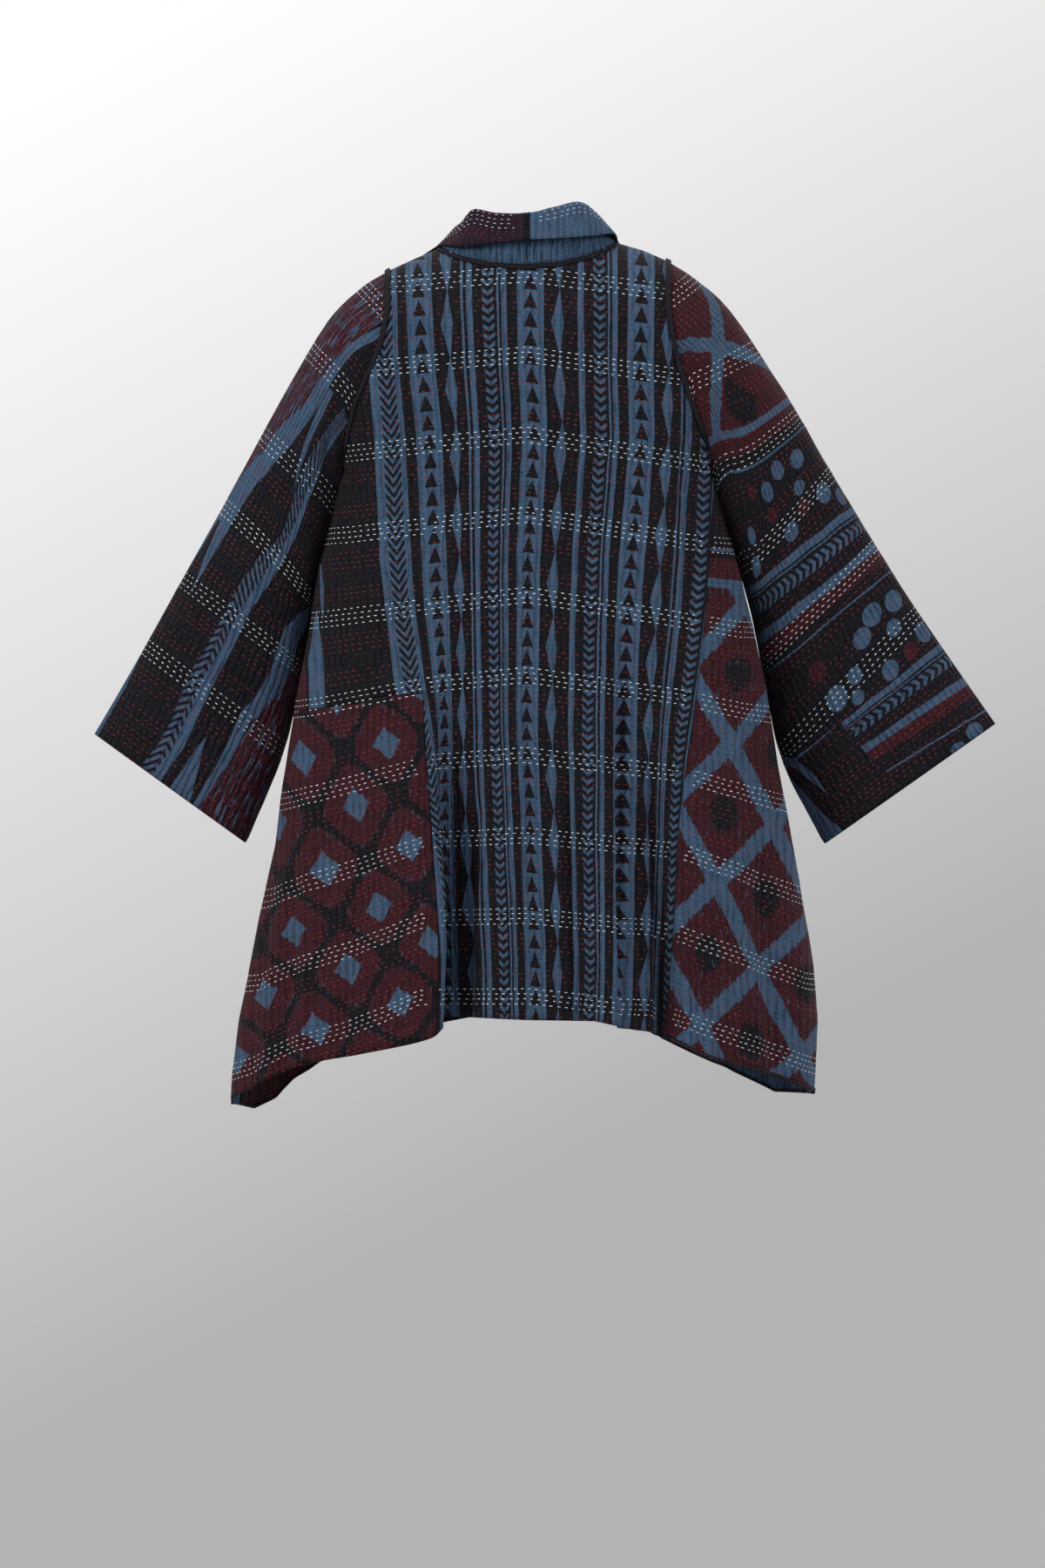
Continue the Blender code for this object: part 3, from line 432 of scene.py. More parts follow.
def level_crossing(k, value, z, front=False):
    """Arc length where the plain x or the angle takes this value on the ring at this height."""
    a = np.clip((LEVEL_TOP - min(z, LEVEL_TOP)) / LEVEL_STEP, 0, len(LEVELS) - 1.001)
    i = int(a)
    found = []
    for n in (i, i + 1):
        r = RINGS[n]
        x = {"bare": r[2], "angle": r[1]}[k]
        half = np.abs(r[1]) >= math.pi / 2 if front else np.abs(r[1]) <= math.pi / 2
        half &= np.sign(r[1]) == np.sign(value)
        order = np.argsort(x[half])
        found.append(np.interp(value, x[half][order], r[0][half][order]))
    return found[0] + (found[1] - found[0]) * (a - i)


def side_u(z, sign):
    r = RINGS[int(np.argmin(np.abs(LEVELS - max(min(z, LEVEL_TOP), LEVEL_LOW))))]
    if z > UNDERARM_Z:
        return 0.0
    angle = 90.0 + (SIDE_ANGLE - 90.0) * float(smooth((UNDERARM_Z - z) / 0.3))
    low = level_crossing("angle", sign * math.radians(min(angle, 89.99)), z)
    high = np.interp(sign * math.radians(angle), r[1], r[0])
    return low + (high - np.interp(sign * math.radians(min(angle, 89.99)), r[1], r[0]))


def armhole_u(z, sign, front):
    x = float(column(ARMHOLES, z, 0, 1 if sign < 0 else 2))
    return level_crossing("bare", x, z, front)


def side_edge(z, sign, front):
    if z > UNDERARM_Z + 1e-6:
        return armhole_u(z, sign, front)
    return side_u(z, sign)


def edge_right_seam(z):
    if z > UNDERARM_Z + 1e-6:
        return armhole_u(z, 1, False)
    return level_crossing("bare", float(column(RIGHT_SEAM, z)), z)


def edge_patch(z):
    return level_crossing("bare", float(column(PATCH_EDGE, z)), z)


def front_inner(z, sign):
    return level_crossing("bare", sign * float(column(FRONT_EDGES, z)), z, True)


def hem_height(u, table_back, table_front):
    x = from_grid(2, u, np.full_like(u, -0.85))
    side = from_grid(1, u, np.full_like(u, -0.85))
    return np.where(side < 0, column(table_back, x), column(table_front, x))


def row_heights(top, side_low, patch, hem):
    """Heights down one column: rounded over the shoulder, then straight in three parts."""
    zs = []
    start = math.acos(1 - min(1.0, (top[1] - top[0]) / (top[1] - LEVEL_TOP)))
    for n in range(ROWS_TOP):
        t = start + (math.pi / 2 - start) * n / ROWS_TOP
        zs.append(top[1] - (top[1] - LEVEL_TOP) * (1 - math.cos(t)))
    for n in range(ROWS_ARM):
        zs.append(LEVEL_TOP + (side_low - LEVEL_TOP) * n / ROWS_ARM)
    for n in range(ROWS_MID):
        zs.append(side_low + (patch - side_low) * n / ROWS_MID)
    for n in range(ROWS_LOW + 1):
        zs.append(patch + (hem - patch) * n / ROWS_LOW)
    return zs


def panel_grid(left, right, cols, top_z, first_row=0):
    """Arc lengths and heights of a panel's grid between two edge functions of height."""
    zs_line = np.linspace(0.03, LEVEL_LOW, 389)
    left_u = np.array([left(float(h)) for h in zs_line])
    right_u = np.array([right(float(h)) for h in zs_line])

    def between(share, z):
        lo = np.interp(-z, -zs_line, left_u)
        hi = np.interp(-z, -zs_line, right_u)
        return lo + (hi - lo) * share

    share = np.linspace(0, 1, cols + 1)
    top_x = np.zeros(cols + 1)
    for _ in range(4):
        top_line = np.array([top_z(x)[0] for x in top_x])
        top_x = from_grid(0, between(share, top_line), top_line)
    hem = hem_height(between(share, np.full(cols + 1, -0.85)), HEM_BACK, HEM_FRONT)
    patch = hem_height(between(share, np.full(cols + 1, -0.48)), PATCH_TOP, PATCH_TOP)
    z = np.zeros((ROWS_ALL, cols + 1))
    for j in range(cols + 1):
        z[:, j] = row_heights(top_z(top_x[j]), UNDERARM_Z, patch[j], hem[j])
    u = np.array([between(share, z[i]) for i in range(ROWS_ALL)])
    return u[first_row:], z[first_row:]


def surface(u, z):
    """Points and outward normals of the body at a grid of arc lengths and heights."""
    p = body_point(u, z)
    e = 0.003
    du = body_point(u + e, z) - body_point(u - e, z)
    z_up = np.minimum(z + e, column(SHOULDER_LINE, p[..., 0]) - 1e-5)
    dz = body_point(u, z - e) - body_point(u, z_up)
    n = np.cross(dz, du)
    n /= np.maximum(np.linalg.norm(n, axis=-1, keepdims=True), 1e-12)
    return p, n


def neck_top(x):
    """Height of the neck seam, or of the shoulder line outside it, and the line's height."""
    line = float(column(SHOULDER_LINE, x))
    lo, hi = NECK_SEAM[0][0], NECK_SEAM[-1][0]
    if lo < x < hi:
        return min(float(column(NECK_SEAM, x)), line - 1e-4), line
    return line - 2e-6, line


def shoulder_top(x):
    line = float(column(SHOULDER_LINE, x))
    return line - 2e-6, line


def sleeve_section(table, f):
    f = min(max(f, 0.0), 1.0)
    near = f + min(0.06, f, 1 - f) * np.linspace(-1, 1, 7)
    return [float(np.mean(column(table, near, 0, k))) for k in range(1, 7)]


def resample(points, n):
    gaps = np.linalg.norm(np.diff(points, axis=0), axis=1)
    s = np.concatenate([[0], np.cumsum(gaps)])
    at = np.linspace(0, s[-1], n)
    return np.stack([np.interp(at, s, points[:, k]) for k in range(3)], axis=1)


def armhole_curve(sign, n):
    """Closed curve round an armhole: top, down the back, underarm, up the front."""
    tip = float(column(ARMHOLES, -0.015, 0, 1 if sign < 0 else 2))
    line = float(column(SHOULDER_LINE, tip))
    turn = np.linspace(0.02, math.pi / 2, 24)
    zs = list(line - (line - LEVEL_TOP) * (1 - np.cos(turn)))
    zs += list(np.linspace(LEVEL_TOP, UNDERARM_Z + 0.002, 24)[1:])
    back = [body_point(side_edge(h, sign, False), h) for h in zs]
    front = [body_point(side_edge(h, sign, True), h) for h in zs]
    bottom = body_point(side_u(UNDERARM_Z, sign), UNDERARM_Z)
    half_back = resample(np.array(back + [bottom]), n // 2 + 1)
    half_front = resample(np.array(front + [bottom]), n // 2 + 1)
    return np.concatenate([half_back, half_front[::-1][1:-1]])


def section_point(table, f, turn):
    ox, oz, ix, iz, deep, shift = sleeve_section(table, f)
    centre = np.array([(ox + ix) / 2, shift, (oz + iz) / 2])
    reach = np.array([(ox - ix) / 2, 0.0, (oz - iz) / 2])
    squash = 1.0 + 0.10 * math.cos(2 * turn)
    return centre + reach * math.cos(turn) - np.array([0, deep, 0]) * math.sin(turn) * squash


def sleeve_point(table, f, turn, start):
    """Point of a sleeve at a share of its length and an angle from its outer edge."""
    p = section_point(table, f, turn)
    if f < ARMHOLE_REACH:
        own = section_point(table, 0.0, turn)
        p = p + (start - own) * (1 - float(smooth(f / ARMHOLE_REACH)))
    return p


def sleeve_grid(table, sign, rows, cols):
    start = armhole_curve(sign, cols)
    low = np.clip((LEVEL_TOP - start[:, 2]) / (LEVEL_TOP - UNDERARM_Z), 0, 1)
    start[:, 0] += sign * (SLEEVE_GAP_TOP + (SLEEVE_GAP_LOW - SLEEVE_GAP_TOP) * low**2)
    turns = 2 * math.pi * np.arange(cols) / cols
    shares = np.linspace(0, 1, rows + 1)
    grid = np.array(
        [[sleeve_point(table, f, turns[k], start[k]) for k in range(cols)] for f in shares]
    )
    across = np.roll(grid, -1, axis=1) - np.roll(grid, 1, axis=1)
    down = np.gradient(grid, axis=0)
    normal = np.cross(across, down) * sign
    normal /= np.linalg.norm(normal, axis=2, keepdims=True)
    degrees = np.degrees(turns)
    for at, angle, half, wide, depth in SLEEVE_FOLDS:
        near = np.cos(np.clip((shares - at) / half, -1, 1) * math.pi / 2) ** 2
        turned = (degrees - angle + 180) % 360 - 180
        round_it = np.cos(np.clip(turned / wide, -1, 1) * math.pi / 2) ** 2
        grid = grid + normal * (depth * near[:, None] * round_it[None, :])[..., None]
    return grid, normal, shares, turns


def collar_profile(base, fold, edge):
    """Points across the collar: up the stand, over the fold, down the fall."""
    out = edge - base
    out = out - (fold - base) * np.dot(out, fold - base) / np.dot(fold - base, fold - base)
    out = out / np.linalg.norm(out)
    up = (fold - base) / np.linalg.norm(fold - base)
    small = min(FOLD_ROUND, 0.45 * np.linalg.norm(fold - base))
    stand_end = fold - up * small - out * small * 0.6
    fall_start = fold - up * small + out * small * 1.4
    crown = fold + out * small * 0.4
    knots = [base + (stand_end - base) * t for t in np.linspace(0, 0.92, 10)]
    for t in np.linspace(0, 1, 7):
        bend = stand_end * (1 - t) ** 2 + (2 * crown - (stand_end + fall_start) / 2) * 2 * t * (1 - t)
        knots.append(bend + fall_start * t**2)
    knots += [fall_start + (edge - fall_start) * t for t in np.linspace(0.1, 1, 10)]
    return np.array(knots)


def collar_sections(table, sign):
    rows = [tuple(np.array(r[k : k + 3]) for k in (0, 3, 6)) for r in table]
    for z, width, roll, lift in LAPEL:
        u = front_inner(z, sign)
        p, n = surface(np.array(u), np.array(z))
        into = np.array([-sign, 0.0, 0.0])
        base = p + into * 0.0024 + n * 0.0008
        fold = p + into * roll + n * (lift + 0.0040)
        q, m = surface(np.array(u - sign * width), np.array(z - 0.004))
        edge = q + m * (lift - 0.0006)
        rows.append((base, fold, edge))
    return rows


def spline(points, at):
    """Smooth curve through points at shares 0..1 of their chord length."""
    gaps = np.linalg.norm(np.diff(points, axis=0), axis=1)
    s = np.concatenate([[0], np.cumsum(gaps)])
    s /= s[-1]
    slope = np.gradient(points, s, axis=0)
    i = np.clip(np.searchsorted(s, at, side="right") - 1, 0, len(s) - 2)
    h = (s[i + 1] - s[i])[:, None]
    t = (at - s[i])[:, None] / h
    a = 2 * t**3 - 3 * t**2 + 1
    b = t**3 - 2 * t**2 + t
    c = -2 * t**3 + 3 * t**2
    d = t**3 - t**2
    return a * points[i] + b * h * slope[i] + c * points[i + 1] + d * h * slope[i + 1]


def collar_grid(table, sign):
    rows = collar_sections(table, sign)
    at = np.linspace(0, 1, COLLAR_COLS + 1)
    lines = [spline(np.array([r[k] for r in rows]), at) for k in range(3)]
    lines[0][0, 0] = lines[1][0, 0] = lines[2][0, 0] = sign * 0.00004
    grid = np.array([collar_profile(lines[0][c], lines[1][c], lines[2][c]) for c in range(len(at))])
    grid = grid.transpose(1, 0, 2)
    down = np.gradient(grid, axis=0)
    across = np.gradient(grid, axis=1)
    normal = np.cross(down, across) * sign
    normal /= np.linalg.norm(normal, axis=2, keepdims=True)
    return grid, normal


def lengths(points, axis):
    """Running length of a grid of points along one axis, from its first line."""
    gaps = np.linalg.norm(np.diff(points, axis=axis), axis=2)
    start = np.zeros_like(np.take(gaps, [0], axis=axis))
    return np.concatenate([start, np.cumsum(gaps, axis=axis)], axis=axis)


def body_rows(x, z):
    """Cloth coordinate down the body, in which every row of stitches is straight."""
    centres = np.array([-row[0] for row in DROOP])
    falls = [column(row[1], x) for row in DROOP]
    v = -np.asarray(z)
    for _ in range(6):
        place = np.clip(np.interp(v, centres, np.arange(len(centres))), 0, len(centres) - 1.001)
        i = place.astype(int)
        part = place - i
        fall = np.choose(i, falls) * (1 - part) + np.choose(i + 1, falls) * part
        v = -z - fall
    return v


def print_across(x, z):
    """Print coordinate across the back, from where its stripes run at each height."""
    heights = [-row[0] for row in PRINT_LINES]
    marks = [np.interp(-z, heights, [row[k + 1] for row in PRINT_LINES]) for k in range(5)]
    u = PRINT_MARKS[0] + (x - marks[0])
    for k in range(4):
        part = (x - marks[k]) / (marks[k + 1] - marks[k])
        value = PRINT_MARKS[k] + (PRINT_MARKS[k + 1] - PRINT_MARKS[k]) * part
        u = np.where(x > marks[k], value, u)
    return np.where(x > marks[4], PRINT_MARKS[4] + (x - marks[4]), u)


def edge_fade(points, closed):
    """0 along the border of a grid, rising to 1 a little way inside it."""
    down = lengths(points, 0)
    near = np.minimum(down, down[-1] - down)
    if not closed:
        across = lengths(points, 1)
        near = np.minimum(near, np.minimum(across, across[:, -1:] - across))
    return smooth(near / EDGE_FLAT)


def quilted(points, a, b, seed, closed=False, depth=1.0):
    """Lift of the cloth off its plain form: puckers between stitches and soft waves."""
    phase = a / PUCKER_PITCH + 0.55 * noise(a, b, 0.05, 0.022, seed)
    fine = np.cos(2 * math.pi * phase) * (0.65 + 0.35 * noise(a, b, 0.016, 0.011, seed + 1))
    soft = noise(a, b, 0.028, 0.10, seed + 2) + 0.6 * noise(a, b, 0.013, 0.03, seed + 3)
    lift = PUCKER_DEPTH * fine + SOFT_DEPTH * 0.6 * soft
    return lift * depth * edge_fade(points, closed)


MATERIALS = {}


def connect(tree, node, inputs):
    """Gives each input of a node its value, or a link from its socket."""
    for key, value in inputs.items():
        if isinstance(value, bpy.types.NodeSocket):
            tree.links.new(value, node.inputs[key])
        else:
            node.inputs[key].default_value = value
    return node


def add_node(tree, kind, inputs=None, **settings):
    node = tree.nodes.new("ShaderNode" + kind)
    for name, value in settings.items():
        setattr(node, name, value)
    return connect(tree, node, inputs or {})


def new_material(name):
    """A material, its node tree and its shader."""
    material = bpy.data.materials.new(name)
    material.use_nodes = True
    tree = material.node_tree
    return material, tree, next(n for n in tree.nodes if n.type == "BSDF_PRINCIPLED")


class Value:
    """A number on a node tree that Python's own signs work on, as Math nodes."""

    def __init__(self, tree, socket):
        self.tree, self.socket = tree, socket

    def node(self, operation, *others, clamp=False):
        items = [x.socket if isinstance(x, Value) else x for x in (self, *others)]
        settings = {"operation": operation, "use_clamp": clamp}
        node = add_node(self.tree, "Math", dict(enumerate(items)), **settings)
        return Value(self.tree, node.outputs[0])

    def __add__(self, other):
        return self.node("ADD", other)

    def __sub__(self, other):
        return self.node("SUBTRACT", other)

    def __mul__(self, other):
        return self.node("MULTIPLY", other)

    def __neg__(self):
        return self.node("MULTIPLY", -1.0)

    def size(self):
        return self.node("ABSOLUTE")

    def part(self, pitch):
        """Share of the way through a repeat, 0 to 1."""
        return self.node("MULTIPLY", 1.0 / pitch).node("FRACT")

    def above(self, level, soft=0.0004):
        """1 where the number is above a level, with an edge this soft."""
        return self.node("MULTIPLY_ADD", 1.0 / soft, 0.5 - level / soft, clamp=True)

    def below(self, level, soft=0.0004):
        return self.node("MULTIPLY_ADD", -1.0 / soft, 0.5 + level / soft, clamp=True)

    def within(self, low, high, soft=0.0004):
        middle, half = (low + high) / 2, (high - low) / 2
        return (self - middle).size().below(half, soft)

    def either(self, *others):
        found = self
        for other in others:
            found = found.node("MAXIMUM", other)
        return found

    def both(self, other):
        return self.node("MINIMUM", other)

    def without(self, other):
        return self.both(other.node("MULTIPLY_ADD", -1.0, 1.0))


class Cloth:
    """A cloth material being put together: print coordinates, noises and the colour so far."""

    def __init__(self, name, ground):
        self.name = name
        self.material, self.tree, self.shader = new_material("look_" + name)
        self.place = add_node(self.tree, "UVMap", uv_map="cloth").outputs[0]
        split = add_node(self.tree, "SeparateXYZ", {0: self.place})
        self.u = Value(self.tree, split.outputs[0])
        self.v = Value(self.tree, split.outputs[1])
        self.colour = (*ground, 1)

    def noise(self, along_u, along_v, detail=2.0):
        """Noise with its own grain size in metres across and down, about -0.5 to 0.5."""
        grain = (1 / along_u, 1 / along_v, 1)
        scale = add_node(self.tree, "VectorMath", {0: self.place, 1: grain}, operation="MULTIPLY")
        settings = {"Vector": scale.outputs[0], "Scale": 1.0, "Detail": detail, "Roughness": 0.6}
        return Value(self.tree, add_node(self.tree, "TexNoise", settings).outputs[0]) - 0.5

    def band(self, rows, u=None):
        """1 inside a band given by rows of v, middle and half width in millimetres."""
        reach = BAND_REACH
        low, high = rows[0][0] / 1000, rows[-1][0] / 1000
        place = self.v.node("MULTIPLY_ADD", 1 / (high - low), -low / (high - low), clamp=True)
        ramp = add_node(self.tree, "ValToRGB", {0: place.socket})
        stops = ramp.color_ramp.elements
        while len(stops) < len(rows):
            stops.new(0.5)
        for stop, row in zip(stops, rows):
            stop.position = (row[0] / 1000 - low) / (high - low)
        for stop, row in zip(stops, rows):
            stop.color = (row[1] / 1000 / reach, row[2] / 1000 / reach, 0, 1)
        split = add_node(self.tree, "SeparateXYZ", {0: ramp.outputs[0]})
        middle = Value(self.tree, split.outputs[0])
        half = Value(self.tree, split.outputs[1])
        away = (((self.u if u is None else u) * (1 / reach)) - middle).size()
        inside = (half - away).above(0.0, 0.002)
        return inside.both(self.v.within(low, high))

    def spots(self, rows):
        """1 inside ovals given by rows of u, v and radius in millimetres."""
        found = []
        for across, down, radius in rows:
            du = (self.u - across / 1000).node("POWER", 2.0)
            dv = (self.v - down / 1000).node("POWER", 2.0)
            found.append((du * 0.62 + dv * 0.82).below((radius / 1000) ** 2, 0.000010))
        return found[0].either(*found[1:])

    def bands(self, rows, lie, others=()):
        """1 inside bands given by both edges in millimetres, or inside the others given."""
        found = [lie(high).within(low / 1000, high / 1000) for low, high in rows]
        return found[0].either(*found[1:], *others)

    def paint(self, colour, mask):
        """The colour where the mask is 1, over what was painted before."""
        inputs = {0: mask.socket, 6: self.colour, 7: (*colour, 1)}
        self.colour = add_node(self.tree, "Mix", inputs, data_type="RGBA").outputs[2]

    def finish(self, centre=GROUP_CENTRE):
        """Fading, weave, puckers and the dips along the stitch rows, then the shader; the pucker
        valleys are also darkened in the colour as painted shade.
        """
        fade = self.noise(0.02, 0.03, 3.0)
        thread_u = self.noise(0.0005, 0.006, 1.0)
        thread_v = self.noise(0.006, 0.0005, 1.0)
        place = self.u + self.noise(0.012, 0.030, 1.0) * 0.0085
        wave = (place * (2 * math.pi / PUCKER_PITCH)).node("SINE")
        valley = (wave * 0.5 + 0.5).node("POWER", 2.2)
        pucker = valley * (self.noise(0.022, 0.016, 1.0) * 2.4 + 0.85).node("MAXIMUM", 0.1)
        # Painted shade: the colour is darkened in the pucker valleys, on top of the random fading and
        # thread tone.
        shade = (fade * 0.5 + thread_u * 0.55 + thread_v * 0.45) + (pucker * -0.34 + 1.12)
        grey = add_node(self.tree, "CombineXYZ", {k: shade.socket for k in range(3)})
        inputs = {0: 1.0, 6: self.colour, 7: grey.outputs[0]}
        tone_and_valley_shade = add_node(self.tree, "Mix", inputs, data_type="RGBA", blend_type="MULTIPLY")
        self.colour = tone_and_valley_shade.outputs[2]
        row = ((self.v - centre).part(ROW_PITCH) - 0.5).size()
        weave = (thread_u + thread_v) * 0.10
        height = row.above(0.12, 0.30) * 0.30 + weave + self.noise(0.004, 0.003, 2.0) * 0.6
        connect(self.tree, self.shader, {"Sheen Weight": 0.03, "Sheen Roughness": 0.5})
        bumped(self, height - pucker * 0.95, 0.8, 0.0022, 0.88, 0.16)


def bumped(cloth, height, strength, distance, rough, specular):
    """The colour and the small relief of a cloth, on its shader."""
    inputs = {"Strength": strength, "Distance": distance, "Height": height.socket}
    bump = add_node(cloth.tree, "Bump", inputs)
    inputs = {"Base Color": cloth.colour, "Normal": bump.outputs[0]}
    inputs.update({"Roughness": rough, "Specular IOR Level": specular})
    connect(cloth.tree, cloth.shader, inputs)
    MATERIALS[cloth.name] = cloth.material


def braid(name, ground):
    """Close oblique ridges of an overlocked edge, their crests lighter as a painted highlight."""
    c = Cloth(name, ground)
    ridge = ((c.u + c.v * 0.8).part(0.0023) - 0.5).size().below(0.30, 0.30)
    # Painted highlight: the raised ridge crests are painted lighter than the black ground, broken up
    # by noise.
    c.paint(tuple(k * 2.1 for k in ground), ridge.both(c.noise(0.004, 0.004).above(-0.08, 0.2)))
    bumped(c, ridge, 0.8, 0.0008, 0.8, 0.2)


def thread(name, colour):
    """A twisted cotton thread."""
    material, tree, shader = new_material(name)
    place = add_node(tree, "TexCoord")
    grain = add_node(tree, "TexNoise", {"Vector": place.outputs["Object"], "Scale": 900.0})
    dark, light = [(*[min(1.0, c * k) for c in colour], 1) for k in (0.72, 1.15)]
    mix = add_node(tree, "Mix", {0: grain.outputs[0], 6: dark, 7: light}, data_type="RGBA")
    connect(tree, shader, {"Base Color": mix.outputs[2], "Roughness": 0.7})
    MATERIALS[name] = material


def make_object(name, verts, faces, materials, face_uv=None, kind=None):
    """A mesh of the jacket, with its cloth coordinates and the material of each face."""
    mesh = bpy.data.meshes.new(name)
    mesh.from_pydata(verts.tolist(), [], faces.tolist())
    for item in materials:
        mesh.materials.append(MATERIALS[item])
    round_faces = np.ones(len(faces), bool)
    if face_uv is not None:
        mesh.uv_layers.new(name="cloth").data.foreach_set("uv", face_uv.ravel())
        mesh.polygons.foreach_set("material_index", kind)
        round_faces = kind < 2
    mesh.polygons.foreach_set("use_smooth", round_faces)
    mesh.update()
    obj = bpy.data.objects.new(name, mesh)
    bpy.context.scene.collection.objects.link(obj)
    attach(obj, "root")
    return obj


def creased(x, z, table):
    """Lift of the listed creases at plain x and height z."""
    lift = np.zeros_like(x)
    for x0, z0, x1, z1, half, depth in table:
        t = (z0 - z) / (z0 - z1)
        bend = 0.35 * half * np.sin(5.0 * t + 90.0 * x0)
        near = np.cos(np.clip((x - x0 - (x1 - x0) * t - bend) / half, -1, 1) * math.pi / 2) ** 2
        lift += depth * near * smooth(t / 0.3) * smooth((1 - t) / 0.25)
    return lift


def shell(name, outer, inner, uv, materials, keep=None, closed=False):
    """A thin wall between two grids of points, its inside and its rim in their own materials."""
    rows, cols = outer.shape[:2]
    wide = cols if closed else cols - 1
    if keep is None:
        keep = np.ones((rows - 1, wide), bool)
    number = np.arange(rows * cols).reshape(rows, cols)
    if closed:
        number = np.concatenate([number, number[:, :1]], axis=1)
        uv = np.concatenate([uv, uv[:, :1]], axis=1)
    i, j = np.nonzero(keep)
    quad = np.stack([number[i, j], number[i + 1, j], number[i + 1, j + 1], number[i, j + 1]], 1)
    down = outer[1:, :-1] - outer[:-1, :-1]
    across = outer[:-1, 1:] - outer[:-1, :-1]
    away = outer[:-1, :-1] - inner[:-1, :-1]
    flip = np.sum(np.cross(down, across) * away) < 0
    corner_uv = np.stack([uv[i, j], uv[i + 1, j], uv[i + 1, j + 1], uv[i, j + 1]], 1)
    shift = rows * cols
    faces = [quad, quad[:, ::-1] + shift]
    face_uv = [corner_uv, corner_uv[:, ::-1]]
    kind = [np.zeros(len(quad), int), np.ones(len(quad), int)]
    padded = np.pad(keep, 1)
    if closed:
        padded[:, 0], padded[:, -1] = padded[:, -2], padded[:, 1]
    for (di, dj), a, b in (((-1, 0), 3, 0), ((0, -1), 0, 1), ((1, 0), 1, 2), ((0, 1), 2, 3)):
        rim = ~padded[i + 1 + di, j + 1 + dj]
        p, q = quad[rim, a], quad[rim, b]
        uv_p, uv_q = corner_uv[rim, a], corner_uv[rim, b]
        faces.append(np.stack([q, p, p + shift, q + shift], 1))
        face_uv.append(np.stack([uv_q, uv_p, uv_p, uv_q], 1))
        kind.append(np.full(rim.sum(), 2))
    faces, face_uv, kind = np.concatenate(faces), np.concatenate(face_uv), np.concatenate(kind)
    if flip:
        faces, face_uv = faces[:, ::-1], face_uv[:, ::-1]
    verts = np.concatenate([outer.reshape(-1, 3), inner.reshape(-1, 3)])
    used = np.unique(faces)
    renumber = np.zeros(len(verts), int)
    renumber[used] = np.arange(len(used))
    return make_object(name, verts[used], renumber[faces], materials, face_uv, kind)


DASHES = {"W": [], "R": [], "D": []}


def stitch_line(points, normals, kind, seed, gap=DASH_PITCH, size=1.0):
    """Running stitches along a line of points, each a low tent of thread."""
    steps = np.linalg.norm(np.diff(points, axis=0), axis=1)
    s = np.concatenate([[0], np.cumsum(steps)])
    if s[-1] < gap * 3:
        return
    rng = np.random.default_rng(seed)
    at = np.arange(rng.random() * gap, s[-1] - DASH_LENGTH * size, gap)
    at = at + rng.normal(0, DASH_STRAY, len(at))
    if kind != "W":
        at = at[rng.random(len(at)) < DASHES_LEFT]
    half = DASH_LENGTH * size / 2 * rng.uniform(0.86, 1.12, len(at))
    middle = at + DASH_LENGTH * size / 2
    sampled = []
    for offset in (-1.0, -0.62, 0.62, 1.0):
        place = np.clip(middle + half * offset, 0, s[-1])
        p = np.stack([np.interp(place, s, points[:, k]) for k in range(3)], 1)
        n = np.stack([np.interp(place, s, normals[:, k]) for k in range(3)], 1)
        sampled.append((p, n / np.linalg.norm(n, axis=1, keepdims=True)))
    (p0, n0), (p1, n1), (p2, n2), (p3, n3) = sampled
    along = p3 - p0
    side = np.cross(n1, along)
    side /= np.maximum(np.linalg.norm(side, axis=1, keepdims=True), 1e-9)
    side *= (DASH_WIDTH * size / 2 * rng.uniform(0.85, 1.15, len(at)))[:, None]
    block = [
        p0 - n0 * DASH_SUNK,
        p1 + side - n1 * DASH_SUNK,
        p1 - side - n1 * DASH_SUNK,
        p1 + n1 * DASH_HEIGHT,
        p2 + side - n2 * DASH_SUNK,
        p2 - side - n2 * DASH_SUNK,
        p2 + n2 * DASH_HEIGHT,
        p3 - n3 * DASH_SUNK,
    ]
    DASHES[kind].append(np.stack(block, 1))


DASH_FACES = np.array(
    [(0, 3, 1), (0, 2, 3), (7, 4, 6), (7, 6, 5), (1, 3, 6), (1, 6, 4), (2, 6, 3), (2, 5, 6)]
)


def stitch_objects(name):
    """Joins the stitches that were laid since the last call, an object for each thread."""
    made = []
    for kind, word in (("W", "white"), ("R", "red"), ("D", "dark")):
        if not DASHES[kind]:
            continue
        blocks = np.concatenate(DASHES[kind])
        DASHES[kind].clear()
        faces = (DASH_FACES[None] + 8 * np.arange(len(blocks))[:, None, None]).reshape(-1, 3)
        title = "stitches_" + name + "_" + word
        made.append(make_object(title, blocks.reshape(-1, 3), faces, [word + "_thread"]))
    return made


def row_line(outer, normal, v, value, closed=False):
    """Points and normals of the cloth along one stitch row, in runs without a break."""
    cols = list(range(outer.shape[1])) + ([0] if closed else [])
    runs, points, normals = [], [], []
    for j in cols:
        line = v[:, j]
        if line[0] <= value <= line[-1]:
            k = min(int(np.searchsorted(line, value, side="right")) - 1, len(line) - 2)
            t = (value - line[k]) / max(line[k + 1] - line[k], 1e-9)
            points.append(outer[k, j] * (1 - t) + outer[k + 1, j] * t)
            normals.append(normal[k, j] * (1 - t) + normal[k + 1, j] * t)
        elif points:
            runs.append((np.array(points), np.array(normals)))
            points, normals = [], []
    if len(points) > 3:
        runs.append((np.array(points), np.array(normals)))
    return runs


